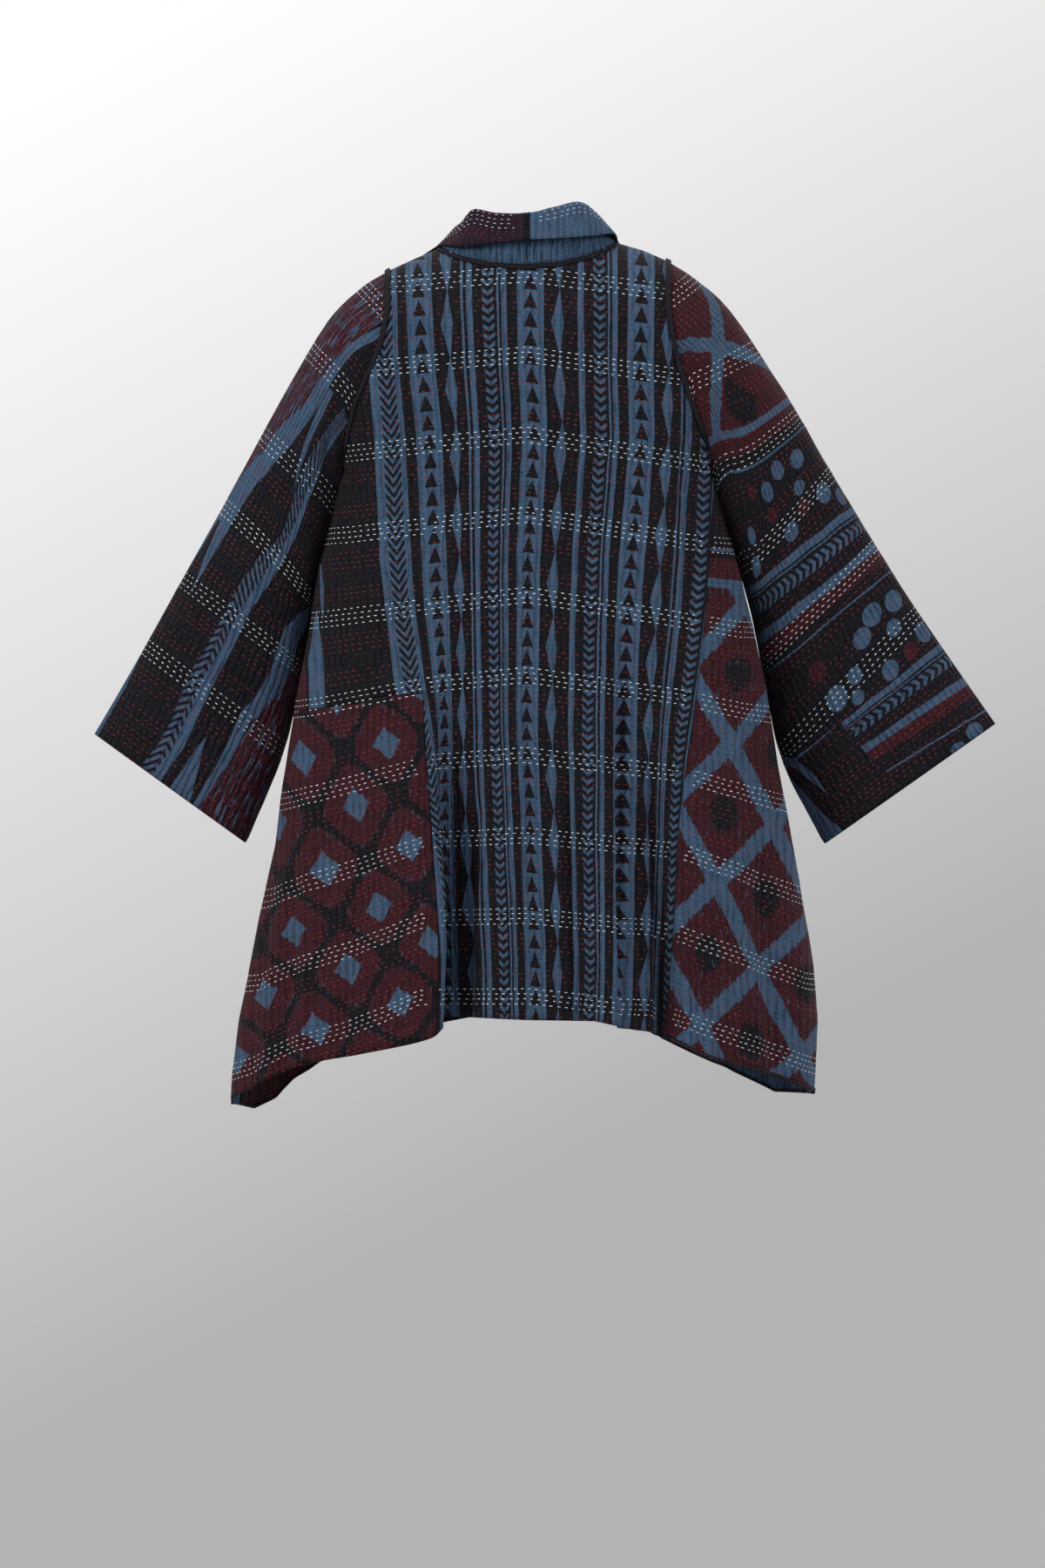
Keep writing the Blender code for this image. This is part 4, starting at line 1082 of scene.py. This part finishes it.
def stitch_panel(outer, normal, v, centre, seed, closed=False, last_white=1.0):
    """All rows of running stitch on a panel, clear of its side seams."""
    v = np.maximum.accumulate(v, axis=0)
    clear = slice(None) if closed else slice(3, -3)
    inside, n_in, v_in = outer[:, clear], normal[:, clear], v[:, clear]
    first = math.floor((v.min() - centre) / ROW_PITCH) - 1
    last = math.ceil((v.max() - centre) / ROW_PITCH) + 1
    for row in range(first, last + 1):
        kind = THREADS[(row + 2) % len(THREADS)]
        value = centre + (row + 0.5) * ROW_PITCH
        if kind == "W" and value > last_white:
            kind = "R"
        for n, (points, normals) in enumerate(row_line(inside, n_in, v_in, value, closed)):
            if len(points) > 3:
                stitch_line(points, normals, kind, seed + row * 7 + n)


# Materials, with their prints
# Widest middle or half width of a band, which its colour ramp holds as 1
BAND_REACH = 0.3
# Width of the stripes' repeat across the back
REPEAT = 0.1187
# Lattices of the patch and of the side panel: cells for each metre across and down, start
PATCH_CELLS = ((10.856, 6.462, -0.6377), (-11.723, 11.149, -8.3623))
SIDE_CELLS = ((9.783, 7.595, -5.3416), (-8.910, 5.614, -0.3079))


def striped_cotton():
    """Ikat-like stripes: rows of triangles, half lozenges, lines and chevrons."""
    c = Cloth("striped_cotton", BLACK)
    u = c.u + c.noise(0.05, 0.07, 2.0) * 0.0030 + c.noise(0.003, 0.010, 1.0) * 0.0007
    v = c.v + c.noise(0.03, 0.03, 1.0) * 0.0020
    across = u.part(REPEAT) * REPEAT
    off_centre = across.both(across.node("MULTIPLY_ADD", -1.0, REPEAT))
    blue = off_centre.below(0.0144)
    step = v.part(0.0201)
    triangle = (step * 0.0087 - 0.0004 - off_centre).above(0.0).both(step.below(0.92, 0.02))
    blue = blue.without(triangle)
    wide = (v.part(0.0698) - 0.5).size() * 2.0
    lozenge = (across + wide * 0.0087).above(0.0312).both((across - wide * 0.0039).below(0.0318))
    odd = u.part(REPEAT * 2).above(0.5, 0.001)
    aside = (across - 0.0739).size()
    chevron = (v + aside * 0.75).part(0.0096).below(0.47, 0.06).both(aside.below(0.0063))
    lines = across.within(0.0506, 0.0574).either(across.within(0.0448, 0.0474).both(odd))
    lines = lines.either(across.within(0.0830, 0.0852), across.within(0.0876, 0.0934))
    blue = blue.either(lozenge, lines, chevron).both(u.above(-0.1340))
    from_v = (u + 0.1582).size()
    vees = (v + from_v * 1.45).part(0.0103).above(0.47, 0.05).both(from_v.below(0.0090))
    stripe = u.within(-0.1768, -0.1438).without(vees)
    left = -c.u
    spike = c.band([(300, 241, 0), (331, 241, 2.2), (352, 242.5, 1.6), (366, 243, 0)], left)
    edge = [(352, 248, 0), (374, 251, 3.5), (404, 254, 7.5), (452, 256, 8.5), (500, 262, 8)]
    c.paint(MAROON, c.band([(395, 272, 4), (420, 275, 10), (500, 284, 14)], left))
    c.paint(BLUE, blue.either(stripe, spike, c.band(edge, left)))
    c.finish()


def diagonal_cells(c, along_p, along_q, ragged_u, ragged_v):
    """Distances from the middle of a cell, 0 to 0.5, along both ways of a skewed lattice."""
    u = c.u + c.noise(0.010, 0.05, 2.0) * ragged_u
    v = c.v + c.noise(0.0028, 0.020, 2.0) * ragged_v
    found = []
    for of_u, of_v, start in (along_p, along_q):
        found.append(((u * of_u + (v * of_v + (start + 0.5))).part(1.0) - 0.5).size())
    return found


def lattice_cotton():
    """Maroon cells with a blue square in each, between dark lattice lines."""
    c = Cloth("lattice_cotton", MAROON)
    p, q = diagonal_cells(c, PATCH_CELLS[0], PATCH_CELLS[1], 0.004, 0.010)
    far = (p.node("POWER", 4.0) + q.node("POWER", 4.0)).node("POWER", 1 / 4.0)
    c.paint(BLACK, far.above(0.446, 0.03))
    streak = c.noise(0.0016, 0.012, 1.0).above(0.17, 0.03)
    c.paint(BLUE, far.within(0.40, 0.47, 0.02).both(streak))
    c.paint(BLUE, p.below(0.165, 0.010).both(q.below(0.160, 0.010)))
    c.finish()


def diamond_cotton():
    """Blue diagonal bands crossing over maroon, a dark blob in each diamond."""
    c = Cloth("diamond_cotton", MAROON)
    p, q = diagonal_cells(c, SIDE_CELLS[0], SIDE_CELLS[1], 0.004, 0.014)
    far = (p * p + q * q).node("SQRT")
    c.paint(BLACK, far.below(0.185, 0.05))
    streak = c.noise(0.0016, 0.012, 1.0).above(0.19, 0.03)
    c.paint(BLUE, p.above(0.408, 0.012).either(q.above(0.402, 0.012), streak))
    wavy = c.v + c.noise(0.03, 0.03, 1.0) * 0.003
    c.paint(BLACK, wavy.below(0.2945))
    c.paint(MAROON, wavy.within(0.2945, 0.3150))
    c.paint(BLUE, wavy.within(0.3150, 0.3245).either(wavy.within(0.2835, 0.2870)))
    c.finish()


# Shapes down the left sleeve: v, then the middle and half width in u, all in millimetres
LEAF_MAROON = [
    [(-560, 40, 55), (-480, 40, 48), (-440, 35, 48), (-400, 30, 40), (-360, 12, 30),
     (-320, 4, 16), (-285, 0, 4)],
    [(-285, 250, 8), (-240, 245, 34), (-200, 235, 48), (-160, 228, 56), (-100, 222, 68),
     (-50, 224, 70), (0, 222, 72)],
]
BLUE_LEAVES = [
    [(-560, 118, 10), (-520, 106, 9), (-480, 93, 7), (-440, 90, 11), (-404, 84, 13),
     (-384, 70, 19), (-350, 52, 15), (-315, 34, 18), (-298, 27, 22), (-262, 21, 22)],
    [(-264, 33, 11), (-240, 34, 7), (-216, 35, 4), (-184, 35, 0)],
    [(-264, 4, 12), (-190, 0, 3), (-115, 0, 2), (-90, 5, 3), (-60, 8, 6), (0, 4, 8)],
    [(-435, 106, 9), (-417, 108, 9), (-392, 112, 6), (-356, 118, 2), (-340, 120, 0)],
    [(-290, 236, 10), (-278, 231, 10), (-247, 190, 12), (-218, 172, 13), (-181, 170, 14),
     (-165, 167, 11), (-145, 163, 9), (-108, 150, 7), (-58, 150, 5), (0, 146, 4)],
    [(-66, 121, 0), (-40, 122, 6), (0, 126, 13)],
]
HERRINGBONE = [
    (-432, 176, 16), (-390, 152, 19), (-350, 137, 13), (-318, 130, 8), (-296, 123, 6),
    (-260, 106, 10), (-203, 92, 8), (-118, 84, 8), (-44, 87, 8), (0, 82, 8),
]


def leaf_cotton():
    """Left sleeve: streaked maroon, blue leaf shapes and a herringbone stripe on black."""
    c = Cloth("leaf_cotton", BLACK)
    u = c.u + c.noise(0.010, 0.035, 2.0) * 0.006
    streak = c.noise(0.0032, 0.022, 2.0).above(0.075, 0.03)
    maroon = c.band(LEAF_MAROON[0], u).either(c.band(LEAF_MAROON[1], u))
    c.paint(MAROON, maroon)
    c.paint(BLUE, maroon.both(streak))
    herring = c.band(HERRINGBONE, u)
    beside = c.band([(v, middle + half + 4.5, 5.5) for v, middle, half in HERRINGBONE], u)
    axis = (u - 0.088).size()
    strokes = (c.v - axis * 1.1).part(0.0100).above(0.48, 0.05)
    leaves = [c.band(rows, u) for rows in BLUE_LEAVES]
    c.paint(BLUE, herring.both(strokes).either(beside, *leaves))
    c.finish(SLEEVE_CENTRES["left"])


# Bands across the right sleeve: lower edge and upper edge in millimetres up from the cuff
BLUE_BANDS = [
    (-412, -404), (-374.5, -372), (-263, -255.5), (-253.6, -252), (-222, -213),
    (-186.5, -184.5), (-96, -89), (-87, -85.4), (-56, -47), (-16.5, -14.5),
]
MAROON_BANDS = [(-404, -387), (-213, -198), (-47, -34)]
CHEVRON_BANDS = [(-248.5, -236), (-83, -71)]
# u, v and radius of the dots
BLUE_DOTS = [
    (98, -358, 9), (61, -351, 10), (129, -347, 9), (77, -323, 7.5), (47, -295, 9.5),
    (186, -320, 7), (112, -292, 9), (190, -293, 8.5), (22, -279, 8), (64, -167, 10),
    (33, -161, 10), (86, -156, 9), (50, -140, 7.5), (21, -116, 9), (113, -134, 7),
    (77, -113, 8), (142, -131, 10), (122, -117, 6), (34, -6, 8), (60, 0, 7),
]
RED_DOTS = [(133, -323, 7.5), (82, -300, 8.5), (147, -165, 8.5), (47, -112, 7), (160, -355, 7)]
# Leaf shapes near the cuff: v, then the middle and half width in u
CUFF_LEAVES = [
    [(-128, 234, 3), (-118, 226, 6), (-99, 216, 5), (-75, 210, 3.5), (-49, 205, 0)],
    [(-114, 246, 4), (-90, 243, 8), (-60, 238, 11), (-33, 233, 11), (0, 225, 13)],
]


def banded_cotton():
    """Right sleeve: a lattice over maroon at the top, then bands and dots down to the cuff."""
    c = Cloth("banded_cotton", BLACK)
    u = c.u
    wave = c.noise(0.03, 0.03, 2.0) * 0.0035
    v = c.v + u * 0.09 + wave
    level = c.v + u * 0.03 + wave
    right = c.band([(-110, 0, 152), (-60, 0, 146), (0, 0, 132)])
    free = right.either(c.v.below(-0.1105))
    ragged = c.noise(0.010, 0.010, 3.0) * 0.012
    c.paint(MAROON, level.below(-0.404).both((u + ragged).below(0.215)))
    c.paint(BLACK, ((u - 0.104).size() + (c.v + 0.436).size() + ragged).below(0.031, 0.006))
    cross = (c.v + u * 0.53 + 0.4500 + ragged).size().below(0.0102, 0.001)
    cross = cross.either((c.v - u * 0.77 + 0.5580 + ragged).size().below(0.0090, 0.001))
    c.paint(BLUE, cross.both(level.below(-0.404)))
    chevrons = []
    for low, high in CHEVRON_BANDS:
        away = (v - (low + high) / 2000).size()
        strokes = (u - away * 0.8).part(0.0102).above(0.50, 0.08)
        chevrons.append(strokes.both(away.below((high - low) / 2000)))

    def lie(high):
        return level if high < -300 else v

    c.paint(MAROON, c.bands(MAROON_BANDS, lie).both(free))
    c.paint(BLUE, c.bands(BLUE_BANDS, lie, chevrons).both(free))
    c.paint(MAROON, c.spots(RED_DOTS))
    c.paint(BLUE, c.spots(BLUE_DOTS))
    c.paint(BLUE, c.band(CUFF_LEAVES[0]).either(c.band(CUFF_LEAVES[1])))
    c.finish(SLEEVE_CENTRES["right"])


def front_cotton():
    """Hidden fronts: broad stripes of the same family, lozenges and chevrons over maroon."""
    c = Cloth("front_cotton", BLACK)
    u = c.u + c.noise(0.05, 0.07, 2.0) * 0.0030 + c.noise(0.003, 0.010, 1.0) * 0.0007
    across = u.part(0.094) * 0.094
    c.paint(MAROON, across.within(0.004, 0.036))
    middle = (across - 0.020).size()
    step = (c.v.part(0.052) - 0.5).size()
    lozenge = (step * 0.034 - middle - 0.003).above(0.0)
    aside = (across - 0.070).size()
    strokes = (c.v + aside * 0.75).part(0.0096).below(0.47, 0.06).both(aside.below(0.0063))
    lines = [across.within(*pair) for pair in ((0.040, 0.043), (0.047, 0.056), (0.084, 0.091))]
    c.paint(BLUE, lozenge.either(strokes, *lines))
    c.finish()


def collar_cotton(name, ground):
    """Plain cloth, blue on its stand, with a dark strip over the centre back seam."""
    c = Cloth(name, ground)
    c.paint(BLUE, c.v.below(STAND_HEIGHT))
    c.paint(BLACK, c.u.below(0.0038))
    c.finish()


def inside_cotton(name, ground, streaks):
    """Reverse of the cloth, worn and streaked along the warp."""
    c = Cloth(name, ground)
    c.paint(streaks, c.noise(0.0025, 0.03, 3.0).above(0.06, 0.08))
    c.finish()


striped_cotton()
lattice_cotton()
diamond_cotton()
leaf_cotton()
banded_cotton()
front_cotton()
collar_cotton("plum_cotton", PLUM)
collar_cotton("blue_cotton", BLUE)
braid("black_binding", BLACK)
inside_cotton("inside_blue", BLUE, BLUE_DEEP)
inside_cotton("inside_plum", MAROON, PLUM)
Cloth("hem_edge", BLACK).finish()
thread("white_thread", WHITE_THREAD)
thread("red_thread", RED_THREAD)
thread("dark_thread", DARK_THREAD)

# Body panels
gap = SEAM_HALF_GAP
WHOLE = (slice(None), slice(None))


def body_panel(names, grid, seed, slot, inside, creases, keep=None, parts=(WHOLE,)):
    """Fine cloth of one body panel and its rows of stitches, laid part by part."""
    u, z = grid
    p, n = surface(u, z)
    v = body_rows(p[..., 0], z)
    plain_x = from_grid(2, u, z)
    p = p + n * creased(plain_x, z, creases)[..., None]
    across = print_across(plain_x, z) if slot == "striped_cotton" else from_grid(3, u, z)
    outer = p + n * (WALL / 2 + quilted(p, u, v, seed))[..., None]
    inner = p - n * (WALL / 2)
    uv = np.stack([across, v], -1)
    obj = shell("cloth_" + names[0], outer, inner, uv, [slot, inside, "hem_edge"], keep)
    for k, part in enumerate(parts):
        stitch_panel(outer[part], n[part], v[part], GROUP_CENTRE, seed * 100 + k * 400)
    return obj, stitch_objects(names[-1]), outer, inner, n


def left_side(h):
    return side_edge(h, -1, False) + gap


# The striped back runs round the corner that is left for the patch
u1, z1 = panel_grid(left_side, lambda h: edge_patch(h) + gap, COLS_PATCH, neck_top)
u2, z2 = panel_grid(
    lambda h: edge_patch(h) + gap, lambda h: edge_right_seam(h) - gap, COLS_CENTRE, neck_top
)
u_back = np.concatenate([u1[:, :-1], u2], axis=1)
z_back = np.concatenate([z1[:, :-1], z2], axis=1)
z_back[ROW_PATCH, :COLS_PATCH] += gap
keep_back = np.ones((ROWS_ALL - 1, u_back.shape[1] - 1), bool)
keep_back[ROW_PATCH:, :COLS_PATCH] = False
beside_patch = (slice(0, ROW_PATCH + 1), slice(0, COLS_PATCH + 3))
past_patch = (slice(None), slice(COLS_PATCH - 3, None))
back, back_threads, out_b, _, n_b = body_panel(
    ["back_centre"], (u_back, z_back), 11, "striped_cotton", "inside_blue", BACK_CREASES,
    keep_back, (beside_patch, past_patch),
)

u_p, z_p = panel_grid(left_side, lambda h: edge_patch(h) - gap, COLS_PATCH, neck_top, ROW_PATCH)
z_p[0] -= gap
patch, patch_threads = body_panel(
    ["back_patch_left", "back_patch"], (u_p, z_p), 21, "lattice_cotton", "inside_blue", BACK_CREASES
)[:2]

side_grid = panel_grid(
    lambda h: edge_right_seam(h) + gap,
    lambda h: side_u(h, 1) - gap if h <= UNDERARM_Z else edge_right_seam(h) + 0.03,
    COLS_SIDE,
    lambda x: (LEVEL_TOP + 0.05, LEVEL_TOP + 0.06),
    ROW_UNDERARM,
)
side, side_threads, out_s, _, n_s = body_panel(
    ["back_side_right", "back_side"], side_grid, 31, "diamond_cotton", "inside_blue", BACK_CREASES
)

fronts = {}
for label, sign, seed, inside in (("left", -1, 41, "inside_plum"), ("right", 1, 51, "inside_blue")):
    front_grid = panel_grid(
        lambda h, s=sign: side_edge(h, s, True) + s * gap,
        lambda h, s=sign: front_inner(h, s),
        COLS_FRONT,
        shoulder_top,
    )
    fronts[label] = body_panel(
        ["front_" + label], front_grid, seed, "front_cotton", inside, FRONT_CREASES
    )

# Sleeves
sleeves = {}
for label, sign, table, rows, seed, slot in (
    ("left", -1, SLEEVE_LEFT, SLEEVE_ROWS_LEFT, 61, "leaf_cotton"),
    ("right", 1, SLEEVE_RIGHT, SLEEVE_ROWS_RIGHT, 71, "banded_cotton"),
):
    grid, normal, shares, turns = sleeve_grid(table, sign, SLEEVE_ROWS, SLEEVE_COLS)
    inward = smooth(1 - np.abs(np.degrees(turns) - 180) / UNDERARM_TURN)
    inward = inward * smooth(1.0 - shares / UNDERARM_SHARE)[:, None]
    grid[..., 0] -= sign * UNDERARM_CLOSE * inward
    v_outer = np.interp(shares, [r[0] for r in rows], [r[2] for r in rows])
    v_inner = np.interp(shares, [r[1] for r in rows], [r[2] for r in rows])
    toward = (1 - np.cos(turns)) / 2
    v = v_outer[:, None] * (1 - toward) + v_inner[:, None] * toward
    ring = np.linalg.norm(np.diff(np.concatenate([grid, grid[:, :1]], 1), axis=1), axis=2)
    around = np.concatenate([np.zeros((len(grid), 1)), np.cumsum(ring, axis=1)], axis=1)
    whole = around[:, -1:]
    around = around[:, :-1]
    lift = quilted(grid, around, v, seed, closed=True)
    mirrored = np.minimum(around, whole - around)
    lift = lift * smooth(mirrored / 0.004)
    outer = grid + normal * (WALL / 2 + lift)[..., None]
    inner = grid - normal * (WALL / 2)
    uv = np.stack([mirrored, v], -1)
    sleeve = shell(
        "cloth_sleeve_" + label, outer, inner, uv, [slot, "inside_blue", "hem_edge"], closed=True
    )
    centre = SLEEVE_CENTRES[label]
    stitch_panel(outer, normal, v, centre, seed * 100, closed=True, last_white=-0.070)
    sleeves[label] = (sleeve, stitch_objects("sleeve_" + label))

# Collar halves, with their stitch rows: distance past the fold and the thread
BOTH_COLLARS = [(-0.022, "D"), (-0.017, "D"), (-0.012, "D"), (-0.007, "D"), (0.0035, "W"),
                (0.0085, "W"), (0.0135, "W")]
COLLAR_ROWS = {
    "left": [(0.0185, "W"), (0.0225, "R"), (0.0260, "R"), (0.0295, "R"), (0.0330, "R")],
    "right": [(0.0185, "D"), (0.0235, "D"), (0.0280, "D"), (0.0320, "R")],
}
collars = {}
for label, sign, table, slot, seed in (
    ("left", -1, COLLAR_BACK_LEFT, "plum_cotton", 81),
    ("right", 1, COLLAR_BACK_RIGHT, "blue_cotton", 91),
):
    grid, normal = collar_grid(table, sign)
    across = lengths(grid, 0)
    along = lengths(grid, 1)
    past_fold = across - across[FOLD_ROW]
    lift = quilted(grid, along, across, seed, depth=0.8)
    lift = lift + COLLAR_SEAM_LIFT * (1 - smooth((along - COLLAR_SEAM_WIDTH) / 0.0010))
    outer = grid + normal * (WALL / 2 + lift)[..., None]
    inner = grid - normal * (WALL / 2)
    uv = np.stack([along, past_fold + STAND_HEIGHT], -1)
    collar = shell("cloth_collar_" + label, outer, inner, uv, [slot, "inside_blue", "hem_edge"])
    for n, (distance, kind) in enumerate(BOTH_COLLARS + COLLAR_ROWS[label]):
        for points, normals in row_line(outer[:, 4:-2], normal[:, 4:-2], past_fold[:, 4:-2], distance):
            stitch_line(points, normals, kind, seed * 10 + n, gap=0.0078, size=0.8)
    collars[label] = (collar, stitch_objects("collar_" + label))


def reach_along(line, distance):
    gaps = np.linalg.norm(np.diff(line, axis=0), axis=1)
    s = np.concatenate([[0], np.cumsum(gaps)])
    return np.array([np.interp(distance, s, line[:, k]) for k in range(3)])


def binding(name, near_line, far_line, normals, lift=BINDING_LIFT):
    """A narrow binding between two lines of points, rounded over its width."""
    shares = np.linspace(0, 1, 7)
    base = np.array([near_line + (far_line - near_line) * t for t in shares])
    n = np.repeat(normals[None], len(shares), 0)
    crown = 0.0004 * np.sin(math.pi * shares)[:, None]
    high = base + n * (lift + BINDING_WALL + crown)[..., None]
    low = base + n * lift
    uv = np.stack([lengths(base, 1), lengths(base, 0)], -1)
    return shell(name, high, low, uv, ["black_binding"] * 3)


neck_cols = [
    j for j in range(u_back.shape[1]) if NECK_SEAM[0][0] < out_b[0, j, 0] < NECK_SEAM[-1][0]
]
neck_binding = binding(
    "neck_binding_cloth",
    np.array([reach_along(out_b[:12, j], BINDING_INSET) for j in neck_cols]),
    np.array([reach_along(out_b[:12, j], BINDING_WIDTH) for j in neck_cols]),
    n_b[0, neck_cols],
)
arm_bindings, side_bindings = {}, {}
for label, turn in (("left", slice(None)), ("right", slice(None, None, -1))):
    out_f, in_f, n_f = fronts[label][2:]
    edge = [(out_b[r, turn][:NEAR_EDGE], n_b[r, turn][0]) for r in range(ROW_UNDERARM - 4, -1, -1)]
    edge += [(out_f[r, :NEAR_EDGE], n_f[r, 0]) for r in range(0, ROW_UNDERARM)]
    arm_bindings[label] = binding(
        "armhole_binding_cloth_" + label,
        np.array([reach_along(line, BINDING_INSET) for line, n in edge]),
        np.array([reach_along(line, ARM_BINDING_WIDTH) for line, n in edge]),
        np.array([n for line, n in edge]),
    )
    rows = range(ROW_UNDERARM + 4, ROWS_ALL)
    far = BINDING_INSET + BINDING_WIDTH
    side_bindings[label] = binding(
        "side_binding_cloth_" + label,
        np.array([reach_along(in_f[r, :NEAR_EDGE], BINDING_INSET) for r in rows]),
        np.array([reach_along(in_f[r, :NEAR_EDGE], far) for r in rows]),
        -np.array([n_f[r, 0] for r in rows]),
        INSIDE_LIFT,
    )

# The turned hem edges that show, each with a row of red stitches
hems = []
for name, grid_out, normals, width in (
    ("hem_side_right", out_s, n_s, HEM_SIDE_WIDTH),
    ("hem_front_right", fronts["right"][3], -fronts["right"][4], HEM_FRONT_WIDTH),
    ("hem_front_left", fronts["left"][3], -fronts["left"][4], HEM_FRONT_WIDTH),
):
    flipped = grid_out[::-1]
    cols = range(grid_out.shape[1])
    near = np.array([reach_along(flipped[:4, j], 0.0001) for j in cols])
    far = np.array([reach_along(flipped[:4, j], width) for j in cols])
    hems.append(binding(name, near, far, normals[-1], 0.0))
    middle = near * 0.45 + far * 0.55 + normals[-1] * HEM_LIFT
    stitch_line(middle, normals[-1], "R", 900, gap=0.0062, size=0.75)
    hems += stitch_objects(name)

# What each piece stands for: piece, node, slot, the cut's flat width and length and its
# area, what it hangs from, and what is sewn to it
PIECES = [
    (back, "back_centre", "striped_cotton", 0.54, 0.86, 0.330, [], [neck_binding, *back_threads]),
    (patch, "back_patch_left", "lattice_cotton", 0.36, 0.42, 0.114, ["back_centre"], patch_threads),
    (side, "back_side_right", "diamond_cotton", 0.30, 0.68, 0.122, ["back_centre"],
     [*side_threads, *hems[:2]]),
]
for label, turned in (("left", hems[4:]), ("right", hems[2:4])):
    fronts[label][1].extend([arm_bindings[label], side_bindings[label], *turned])
for word, built, slots, cuts in (
    ("front_", fronts, ("front_cotton",) * 2, ((0.39, 0.99, 0.214), (0.38, 0.99, 0.219))),
    ("sleeve_", sleeves, ("leaf_cotton", "banded_cotton"),
     ((0.60, 0.60, 0.204), (0.62, 0.62, 0.226))),
    ("collar_", collars, ("plum_cotton", "blue_cotton"),
     ((0.50, 0.10, 0.040), (0.50, 0.10, 0.041))),
):
    for label, slot, cut in zip(("left", "right"), slots, cuts):
        holders = ["back_centre"]
        if word != "front_":
            holders.append("front_" + label)
        piece, sewn = built[label][:2]
        PIECES.append((piece, word + label, slot, *cut, holders, sewn))
for piece, node, slot, wide, long, area, holders, sewn in PIECES:
    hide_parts(node)
for node, piece in {
    "neck_binding": neck_binding,
    "armhole_binding_left": arm_bindings["left"],
    "armhole_binding_right": arm_bindings["right"],
    "side_binding_left": side_bindings["left"],
    "side_binding_right": side_bindings["right"],
}.items():
    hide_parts(node)

# Stage, lights and camera
PHOTO_HEIGHT = 1.674
PHOTO_CENTRE = (-0.00465, -0.5673)
CAMERA_BACK = 20.0
NEAR_FACE = -0.10
FLOOR_Z = -1.62
FLOOR_RADIUS = 1.2
CHEST = (0.0, 0.0, -0.45)
AMBIENT = 0.42
# Painted light on the ground behind the jacket, brighter up and to the left: its brightness at its
# middle, its change for each unit of the line of sight up and to the right, and its darkest
GROUND_MIDDLE = 0.615
GROUND_UP = 0.32 / 0.0419
GROUND_RIGHT = -0.11 / 0.0279
GROUND_DARKEST = 0.455


# A pale floor below the frame, which only throws light back
floor_material, tree, shader = new_material("floor_pale")
connect(tree, shader, {"Base Color": (*PALE_STAGE, 1), "Roughness": 0.9})
floor_mesh = bpy.data.meshes.new("floor")
ring = [
    (FLOOR_RADIUS * math.cos(t), FLOOR_RADIUS * math.sin(t), FLOOR_Z)
    for t in np.linspace(0, 2 * math.pi, 96, endpoint=False)
]
floor_mesh.from_pydata(ring, [], [list(range(96))])
floor_mesh.materials.append(floor_material)
floor = bpy.data.objects.new("floor", floor_mesh)
bpy.context.scene.collection.objects.link(floor)


def area_light(name, place, size, power):
    """A square light that faces the chest."""
    data = bpy.data.lights.new(name, "AREA")
    data.shape = "SQUARE"
    data.size = size
    data.energy = power
    lamp = bpy.data.objects.new(name, data)
    lamp.location = place
    aim = np.array(CHEST) - np.array(place)
    lamp.rotation_mode = "XYZ"
    flat = math.hypot(aim[0], aim[1])
    lamp.rotation_euler = (math.atan2(flat, -aim[2]), 0, math.atan2(-aim[0], aim[1]))
    bpy.context.scene.collection.objects.link(lamp)


area_light("key", (-3.2, -2.4, 1.3), 1.3, 97)
area_light("fill", (3.3, -2.3, 1.1), 1.7, 66)
area_light("top", (0.0, 0.4, 2.4), 1.6, 22)
area_light("behind", (0.8, 3.4, 1.2), 2.6, 55)

world = bpy.data.worlds.new("studio")
bpy.context.scene.world = world
world.use_nodes = True
wt = world.node_tree
background = next(n for n in wt.nodes if n.type == "BACKGROUND")
facing = add_node(wt, "TexCoord")
split = add_node(wt, "SeparateXYZ", {0: facing.outputs["Generated"]})
sky_x, sky_y, sky_z = (Value(wt, split.outputs[k]) for k in range(3))
# Painted light: the backdrop is painted brighter upward and to the left and darker down and to the
# right, as the studio light falls off across it.
backdrop_painted_light = sky_z * GROUND_UP + sky_x * GROUND_RIGHT + GROUND_MIDDLE
backdrop_painted_light = backdrop_painted_light.node("MAXIMUM", GROUND_DARKEST).node("MINIMUM", 1.0)
behind = sky_y.above(0.985, 0.01)
level = backdrop_painted_light * behind + (behind * -AMBIENT + AMBIENT)
grey = add_node(wt, "CombineXYZ", {k: level.socket for k in range(3)})
connect(wt, background, {"Color": grey.outputs[0], "Strength": 1.0})

camera_data = bpy.data.cameras.new("camera")
camera = bpy.data.objects.new("camera", camera_data)
bpy.context.scene.collection.objects.link(camera)
camera.location = (PHOTO_CENTRE[0], NEAR_FACE - CAMERA_BACK, PHOTO_CENTRE[1])
camera.rotation_euler = (math.pi / 2, 0, 0)
camera_data.lens = camera_data.sensor_width * CAMERA_BACK / PHOTO_HEIGHT
bpy.context.scene.camera = camera
bpy.context.scene.view_settings.view_transform = "Standard"
